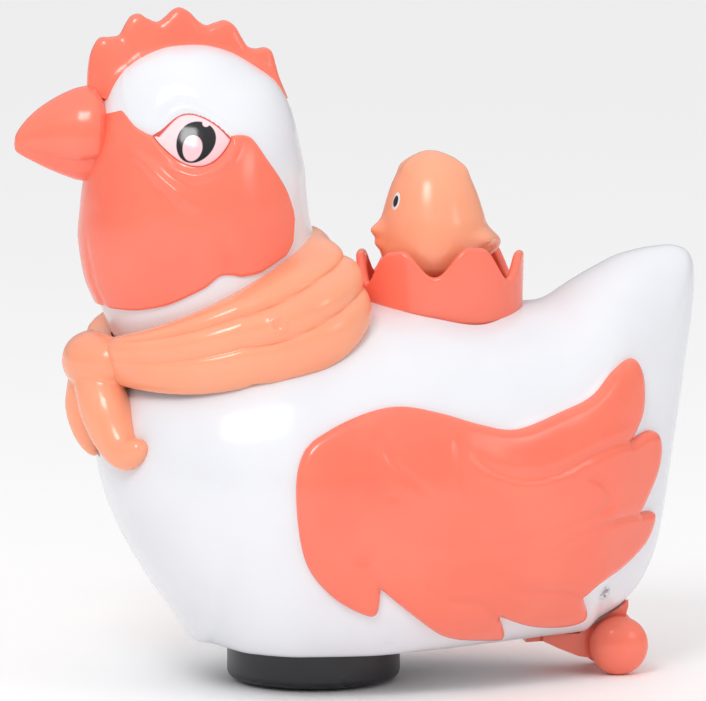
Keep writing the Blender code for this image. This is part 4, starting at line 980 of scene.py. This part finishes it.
def fill_flat(outline, spacing):
    """Triangles inside an outline: its own points, rings just inside it for the rounded edge, and an
    even mesh of points in the middle."""
    step = np.roll(outline, -1, axis=0) - np.roll(outline, 1, axis=0)
    turned_in = np.stack([-step[:, 1], step[:, 0]], axis=1) * np.sign(signed_area(outline))
    turned_in /= np.linalg.norm(turned_in, axis=1, keepdims=True)
    x0, z0 = outline.min(axis=0)
    x1, z1 = outline.max(axis=0)
    gx, gz = np.meshgrid(np.arange(x0, x1, spacing), np.arange(z0, z1, spacing))
    gx = gx + spacing / 2 * (np.arange(gx.shape[0]) % 2)[:, None]
    candidates = [(outline + turned_in * d, d) for d in (0.25, 0.7, 1.4, 2.3)]
    candidates.append((np.stack([gx.ravel(), gz.ravel()], axis=1), 2.9))
    closed = np.vstack([outline, outline[:1]])
    kept = []
    for points, depth in candidates:
        points = points[inside_outline(points, outline)]
        kept.append(points[nearest(points, closed)[0] > depth * 0.93])
    corners = np.vstack([outline] + kept)
    count = len(outline)
    rim = [(k, (k + 1) % count) for k in range(count)]
    made = delaunay_2d_cdt([Vector(p) for p in corners], rim, [], 0, 1e-7)
    flat = np.array([v[:] for v in made[0]])
    faces = np.array(made[2])
    return flat, faces[inside_outline(flat[faces].mean(axis=1), outline)]


def off_flank(x, z, out):
    """Point on the flank moved out along its normal, from the side's slopes along x and z."""
    step = 0.5
    y = body_side(x, z)
    slope_x = (body_side(x + step, z) - body_side(x - step, z)) / (2 * step)
    slope_z = (body_side(x, z + step) - body_side(x, z - step)) / (2 * step)
    length = np.sqrt(1 + slope_x ** 2 + slope_z ** 2)
    return np.stack([x - out * slope_x / length, y + out / length, z - out * slope_z / length], axis=1)


def make_wings():
    """The same flat panel laid on both flanks."""
    outline = wing_outline()
    flat, faces = fill_flat(outline, 1.15)
    height = wing_relief(flat, outline)
    edges = np.concatenate([faces[:, [0, 1]], faces[:, [1, 2]], faces[:, [2, 0]]])
    both = {tuple(e) for e in edges.tolist()}
    rim = np.array([e for e in both if (e[1], e[0]) not in both])
    size = len(flat)
    walls = np.stack([rim[:, 1], rim[:, 0], rim[:, 0] + size, rim[:, 1] + size], axis=1)
    for side, name in ((-1, "wing_left"), (1, "wing_right")):
        outer = off_flank(flat[:, 0], flat[:, 1], height) * (1, side, 1)
        inner = off_flank(flat[:, 0], flat[:, 1], -0.4) * (1, side, 1)
        add_piece("feathers_" + name, np.vstack([outer, inner]),
                  [faces, faces[:, ::-1] + size, walls], "hen", [name], "coral ABS", 50)


make_wings()

# %% [markdown]
# ## The nest and the chick
# The nest is a cup whose rim is cut into six petals: the rim's height dips by a cosine at each valley.
# The chick is an egg with a beak, a tail and a few tufts, all as soft hills on the egg's own map.

# %% Nest
NEST_RIM_Z, NEST_DIP, NEST_FOOT_Z, NEST_WALL = 142.6, 9.4, 118.0, 3.0
NEST_SAG, VALLEY_HALF_TURN, VALLEY_AT = 1.9, 25.5, -103
NEST_NARROW = 0.88      # the nest is a little narrower across the body than along it


def make_nest():
    """Closed section for each turn: up the outside, over a rounded rim, down the inside, across the
    floor. The rim dips by a cosine round each valley and is flat between two valleys; a second cosine
    lowers it in front and behind."""
    turn = (np.arange(420) * 2 * pi / 420)[:, None]
    gap = np.degrees((turn - radians(VALLEY_AT) + pi / PETALS) % (2 * pi / PETALS) - pi / PETALS)
    sag = NEST_SAG * (1 + np.cos(2 * turn))
    valley = NEST_DIP * (0.5 + 0.5 * np.cos(pi * np.clip(gap / VALLEY_HALF_TURN, -1, 1)))
    rim = NEST_RIM_Z - sag - valley
    up = np.linspace(0, 1, 34)[None, :]
    outer_z = NEST_FOOT_Z + (rim - NEST_WALL / 2 - NEST_FOOT_Z) * up
    outer_r = NEST_RADIUS + 2.2 + 0.5 * np.clip((outer_z - NEST_FOOT_Z) / 20.0, 0, 1)
    over_angle = np.linspace(0, pi, 11)[None, 1:-1]
    over_r = outer_r[:, -1:] - NEST_WALL / 2 + NEST_WALL / 2 * np.cos(over_angle)
    over_z = rim - NEST_WALL / 2 + NEST_WALL / 2 * np.sin(over_angle)
    low = np.array([[NEST_RADIUS, NEST_FLOOR_Z], [4.0, NEST_FLOOR_Z], [4.0, NEST_FLOOR_Z + 2],
                    [NEST_RADIUS - 1.6, NEST_FLOOR_Z + 2]])
    full = np.ones_like(turn)
    inner_r = outer_r[:, ::-1] - NEST_WALL
    r = np.concatenate([outer_r, over_r, inner_r] + [full * v for v in low[::-1, 0]], axis=1)
    z = np.concatenate([outer_z, over_z, outer_z[:, ::-1]] + [full * v for v in low[::-1, 1]], axis=1)
    grid = np.stack([NEST_X + r * np.cos(turn), NEST_NARROW * r * np.sin(turn), z], axis=2)
    return add_piece("nest_petals", *loops(grid, ring=True), "hen", ["nest_cup"], "coral ABS")


make_nest()

# %% Chick
CHICK_X, CHICK_TOP_Z, CHICK_BOTTOM_Z = 24.0, 171.5, 126.0
CHICK_Z = [126, 126.4, 128, 131, 135, 141, 148.8, 153.7, 158.6, 163.5, 168.4, 170.6, 171.3, 171.5]
CHICK_R = [0, 3.5, 8.2, 13.0, 16.2, 17.4, 16.8, 15.6, 14.0, 11.7, 7.6, 3.9, 1.7, 0]
CHICK_HILLS = [
    # turn in degrees, height in mm, how high the hill is, its size across and its size up
    (180, 146.0, 3.4, 3.2, 2.6), (180, 141.6, 1.6, 3.4, 1.8), (0, 141.2, 4.6, 6.0, 4.4),
    (30, 143.4, 2.4, 5.5, 2.2), (-30, 143.4, 2.4, 5.5, 2.2), (18, 166.3, 1.3, 3.0, 3.0),
    (-18, 166.3, 1.3, 3.0, 3.0), (158, 167.0, 1.0, 2.2, 2.2), (-158, 167.0, 1.0, 2.2, 2.2),
]


def chick_out(z, turn):
    """Distance from the chick's axis: an egg, fuller at the back, plus its hills. Every hill is a bell
    over the distance across and the height."""
    r = hermite(CHICK_Z, CHICK_R, z) * np.ones_like(turn)
    r = r + 0.075 * r * np.cos(np.radians(turn))
    hills = np.zeros(np.broadcast(z, turn).shape)
    for at, height, size, wide, tall in CHICK_HILLS:
        gap = (turn - at + 180) % 360 - 180
        hills += size * bell(gap * np.maximum(r, 6) * pi / 180, wide) * bell(z - height, tall)
    return r + hills


def make_chick():
    """Loops from the base to the crown, bunched at both poles."""
    u = np.linspace(0.02, 0.98, 110)
    z = (CHICK_BOTTOM_Z + (CHICK_TOP_Z - CHICK_BOTTOM_Z) * (1 - np.cos(pi * u)) / 2)[:, None]
    turn = (np.arange(200) * 360 / 200)[None, :]
    r = chick_out(z, turn)
    a = np.radians(turn)
    grid = np.stack([CHICK_X + r * np.cos(a), r * np.sin(a), z + 0 * turn], axis=2)
    return add_piece("chick", *loops(grid), "chick", ["chick_body"], "peach ABS")


CHICK_EYE_TURN = 29


def make_chick_eyes():
    """Flat oval domes on the egg, turned the same angle to either side of its beak."""
    for side, name in ((-1, "chick_eye_left"), (1, "chick_eye_right")):
        t = np.linspace(0, 1, 10)[:, None]
        a = (np.arange(40) * 2 * pi / 40)[None, :]
        across, up = 1.35 * t * np.cos(a), 2.05 * t * np.sin(a)
        z = 156.0 + up
        turn = 180 + side * -CHICK_EYE_TURN + np.degrees(across / 14.0)
        r = chick_out(z, turn)
        for grow, part, finish in ((1.0, "ink", "chick eye"), (1.35, "rim", "white ABS")):
            lift = (0.35 if part == "ink" else 0.16) * (1 - t ** 4)
            zz = 156.0 + up * grow
            tt = 180 + side * -CHICK_EYE_TURN + np.degrees(across * grow / 14.0)
            rr = chick_out(zz, tt) + lift
            grid = np.stack([CHICK_X + rr * np.cos(np.radians(tt)), rr * np.sin(np.radians(tt)), zz], axis=2)
            add_piece(f"{name}_{part}", *loops(grid[1:]), "chick", [name], finish)


make_chick()
make_chick_eyes()

# %% [markdown]
# ## Running gear
# Wheels, drum and screws are turned shapes: a profile of radius and height swept round an axis.
# Rounded corners are arcs in the profile, because no moulded edge is sharp.

# %% Turned pieces
def arc(centre, radius, start, end, count=8):
    """Points on a circle from one angle to another, in degrees."""
    a = np.radians(np.linspace(start, end, count))
    return [(centre[0] + radius * cos(t), centre[1] + radius * sin(t)) for t in a]


def turn_to(grid, axis, at):
    """Swap a z-turned grid to another axis and move it to its place."""
    x, y, z = np.moveaxis(grid, 2, 0)
    turned = {"z": (x, y, z), "y": (x, z, y), "-y": (x, -z, y)}[axis]
    return np.stack(turned, axis=2) + np.asarray(at, float)


def centre_of(node):
    """Middle of a CAD node's box, in mm."""
    low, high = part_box(node)
    return (np.array(low) + np.array(high)) / 2 / MM


drum_low, drum_high = (np.array(v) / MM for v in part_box("turntable_drum"))
drum_at = centre_of("turntable_drum") * (1, 1, 0)
DRUM_RADIUS = (drum_high[0] - drum_low[0]) / 2
profile = [(DRUM_RADIUS - 0.5, drum_high[2]), (DRUM_RADIUS, drum_high[2] - 0.5),
           (DRUM_RADIUS, 13.0), (DRUM_RADIUS - 0.25, 12.7), (DRUM_RADIUS - 0.25, 12.3), (DRUM_RADIUS, 12.0)]
profile += arc((DRUM_RADIUS - 2.6, drum_low[2] + 2.6), 2.6, 0, -90, 10)
profile += [(DRUM_RADIUS - 3.2, drum_low[2] + 0.6), (DRUM_RADIUS - 2, drum_low[2] + 2.4),
            (DRUM_RADIUS - 2, drum_high[2])]
drum = turn_to(lathe(profile, 160), "z", drum_at)
add_piece("drum_skin", *loops(drum, ring=True), "turntable", ["turntable_drum"], "black ABS", 30)

REAR_AT, REAR_RADIUS = centre_of("rear_axle"), 9.6
dome = [(REAR_RADIUS * cos(t), 10.6 + 6.0 * sin(t)) for t in np.linspace(0, pi / 2, 22)[:-1]]
profile = [(1.3, 13.6), (1.3, 7.3)] + arc((7.6, 7.3), 0.5, 250, 300, 4)
profile += [(8.4, 7.2), (REAR_RADIUS - 0.15, 8.2)]
profile += dome + [(0.6, 16.58)]
for name, axis in (("rear_wheel_left", "-y"), ("rear_wheel_right", "y")):
    wheel = turn_to(lathe(profile, 90), axis, REAR_AT)
    add_piece("ball_" + name, *loops(wheel), "rear_wheels", [name], "coral ABS")

# %% [markdown]
# A cross-recess screw closes the shell near the tail. Its head is a dome with four grooves: the
# height drops where a point is close to either of two crossing lines.

# %% Screw head
def screw_head(name, node, at, outward, across, radius, finish="steel"):
    """Low dome over a disc, with a cross groove 0.5 mm wide and 0.6 mm deep in its middle."""
    t = np.linspace(0.04, 1, 26)[:, None]
    a = (np.arange(72) * 2 * pi / 72)[None, :]
    u, v = radius * t * np.cos(a), radius * t * np.sin(a)
    cross = np.maximum(bell(u, 0.3), bell(v, 0.3)) * np.clip((0.72 * radius - np.hypot(u, v)) / 0.3, 0, 1)
    top = 0.75 * np.sqrt(1 - (0.93 * t) ** 2) - 0.65 * cross
    up = np.cross(outward, across)
    face = at + u[..., None] * across + v[..., None] * up + top[..., None] * outward
    skirt = at + u[-1:, :, None] * across + v[-1:, :, None] * up - 1.4 * np.asarray(outward)
    return add_piece(name, *loops(np.concatenate([face, skirt])), "hen", [node], finish, 30)


low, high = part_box("side_screw")
side_at = np.array([(low[0] + high[0]) / 2, low[1], (low[2] + high[2]) / 2]) / MM
screw_head("side_screw_head", "side_screw", side_at + (0, 0.7, 0), np.array([0, -1.0, 0]),
           np.array([cos(0.5), 0, sin(0.5)]), 2.5)
low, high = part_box("door_screw")
door_at = np.array([(low[0] + high[0]) / 2, 0.0, low[2]]) / MM
screw_head("door_screw_head", "door_screw", door_at + (0, 0, 0.7), np.array([0, 0, -1.0]),
           np.array([cos(0.3), sin(0.3), 0]), 2.5)

# %% [markdown]
# ## Finishes on the rest
# The other CAD parts keep their meshes and get a finish for what they are made of: moulded ABS
# covers, nylon gears, rubber tyres, steel pins, brass contacts, a lacquered board.

# %% Materials on the CAD nodes that still show
NODE_FINISH = {
    "white ABS": ["base_pan", "battery_box", "battery_door", "gearbox_case", "gearbox_cover", "neck_plate"],
    "coral ABS": ["rear_bracket"],
    "black ABS": ["turntable_floor", "turntable_lid", "axle_bearing_left", "axle_bearing_right",
                  "switch_body", "switch_knob"],
    "nylon": ["neck_bearing", "chick_stem", "chick_lever", "drive_wheel_left", "drive_wheel_right",
              "crown_gear", "output_gear", "shaft_pinion", "idler_gear"],
    "rubber": ["drive_tyre_left", "drive_tyre_right"],
    "steel": ["drive_axle", "drive_shaft", "idler_pin", "motor_shaft", "rear_axle", "motor", "speaker"],
    "brass": ["contact_front", "contact_rear", "motor_pinion"],
    "board": ["circuit_board"],
    "cell wrap": ["battery_cell_1", "battery_cell_2"],
}
for finish, names in NODE_FINISH.items():
    for name in names:
        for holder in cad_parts[name].material_slots:
            holder.material = FINISH[finish]
print("finished CAD nodes:", sum(len(names) for names in NODE_FINISH.values()))

# %% [markdown]
# ## Studio
# A pale floor, a bright even room and two large soft lamps: the look of a catalogue shot. The
# camera stands far off with a long lens, low and a little to the side of square.

# %% Floor
floor_mesh = bpy.data.meshes.new("floor")
reach = 6.0
floor_mesh.from_pydata([(-reach, -reach, 0), (reach, -reach, 0), (reach, reach, 0), (-reach, reach, 0)], [],
                       [(0, 1, 2, 3)])
floor = bpy.data.objects.new("floor", floor_mesh)
bpy.context.scene.collection.objects.link(floor)
paper, tree, shader, place = start_material("Matt white paper")
grain = noise(tree, place, 40.0)
tree.links.new(spread(tree, grain.outputs[0], 0.85, 0.95), shader.inputs["Roughness"])
shader.inputs["Base Color"].default_value = linear("#FFFFFF")
floor_mesh.materials.append(paper)
floor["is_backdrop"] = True

# %% Room light and lamps
ROOM_LOW, ROOM_HIGH = 0.32, 1.15     # brightness at the horizon and overhead


world = bpy.data.worlds.new("studio")
bpy.context.scene.world = world
world.use_nodes = True
room = world.node_tree
sky = room.nodes["Background"]
sky.inputs["Color"].default_value = linear("#FBFBFC")
height = add(room, "ShaderNodeSeparateXYZ", Vector=add(room, "ShaderNodeTexCoord").outputs["Generated"])
room.links.new(add(room, "ShaderNodeMapRange", _0=height.outputs[2], _1=0.0, _2=1.0, _3=ROOM_LOW,
                   _4=ROOM_HIGH).outputs[0], sky.inputs["Strength"])
bpy.context.scene.view_settings.view_transform = 'Standard'


def lamp(name, at, aim, size, power):
    """A square soft lamp at a place in metres, aimed at a point."""
    light = bpy.data.lights.new(name, 'AREA')
    light.size, light.energy = size, power
    made = bpy.data.objects.new(name, light)
    made.location = at
    made.rotation_euler = (Vector(at) - Vector(aim)).to_track_quat('Z', 'Y').to_euler()
    bpy.context.scene.collection.objects.link(made)


MIDDLE = (0.0, 0.0, 0.11)
lamp("key", (-0.5, -1.0, 1.05), MIDDLE, 0.42, 6.6)
lamp("fill", (0.9, -0.9, 0.5), MIDDLE, 0.3, 0.9)

# %% Camera
AZIMUTH, ELEVATION, DISTANCE = radians(-10), radians(8), 3.0
VIEW_WIDTH = 0.2278          # metres across the picture at the toy's distance
AIM = Vector((-0.001, 0.0, 0.1069))
away = Vector((sin(AZIMUTH) * cos(ELEVATION), -cos(AZIMUTH) * cos(ELEVATION), sin(ELEVATION)))
lens = bpy.data.cameras.new("camera")
lens.sensor_width = 36.0
lens.lens = lens.sensor_width * DISTANCE / VIEW_WIDTH
camera = bpy.data.objects.new("camera", lens)
camera.location = AIM + away * DISTANCE
camera.rotation_euler = away.to_track_quat('Z', 'Y').to_euler()
bpy.context.scene.collection.objects.link(camera)
bpy.context.scene.camera = camera
print("lens in mm:", round(lens.lens, 1))

# %% Sizes
low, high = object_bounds()
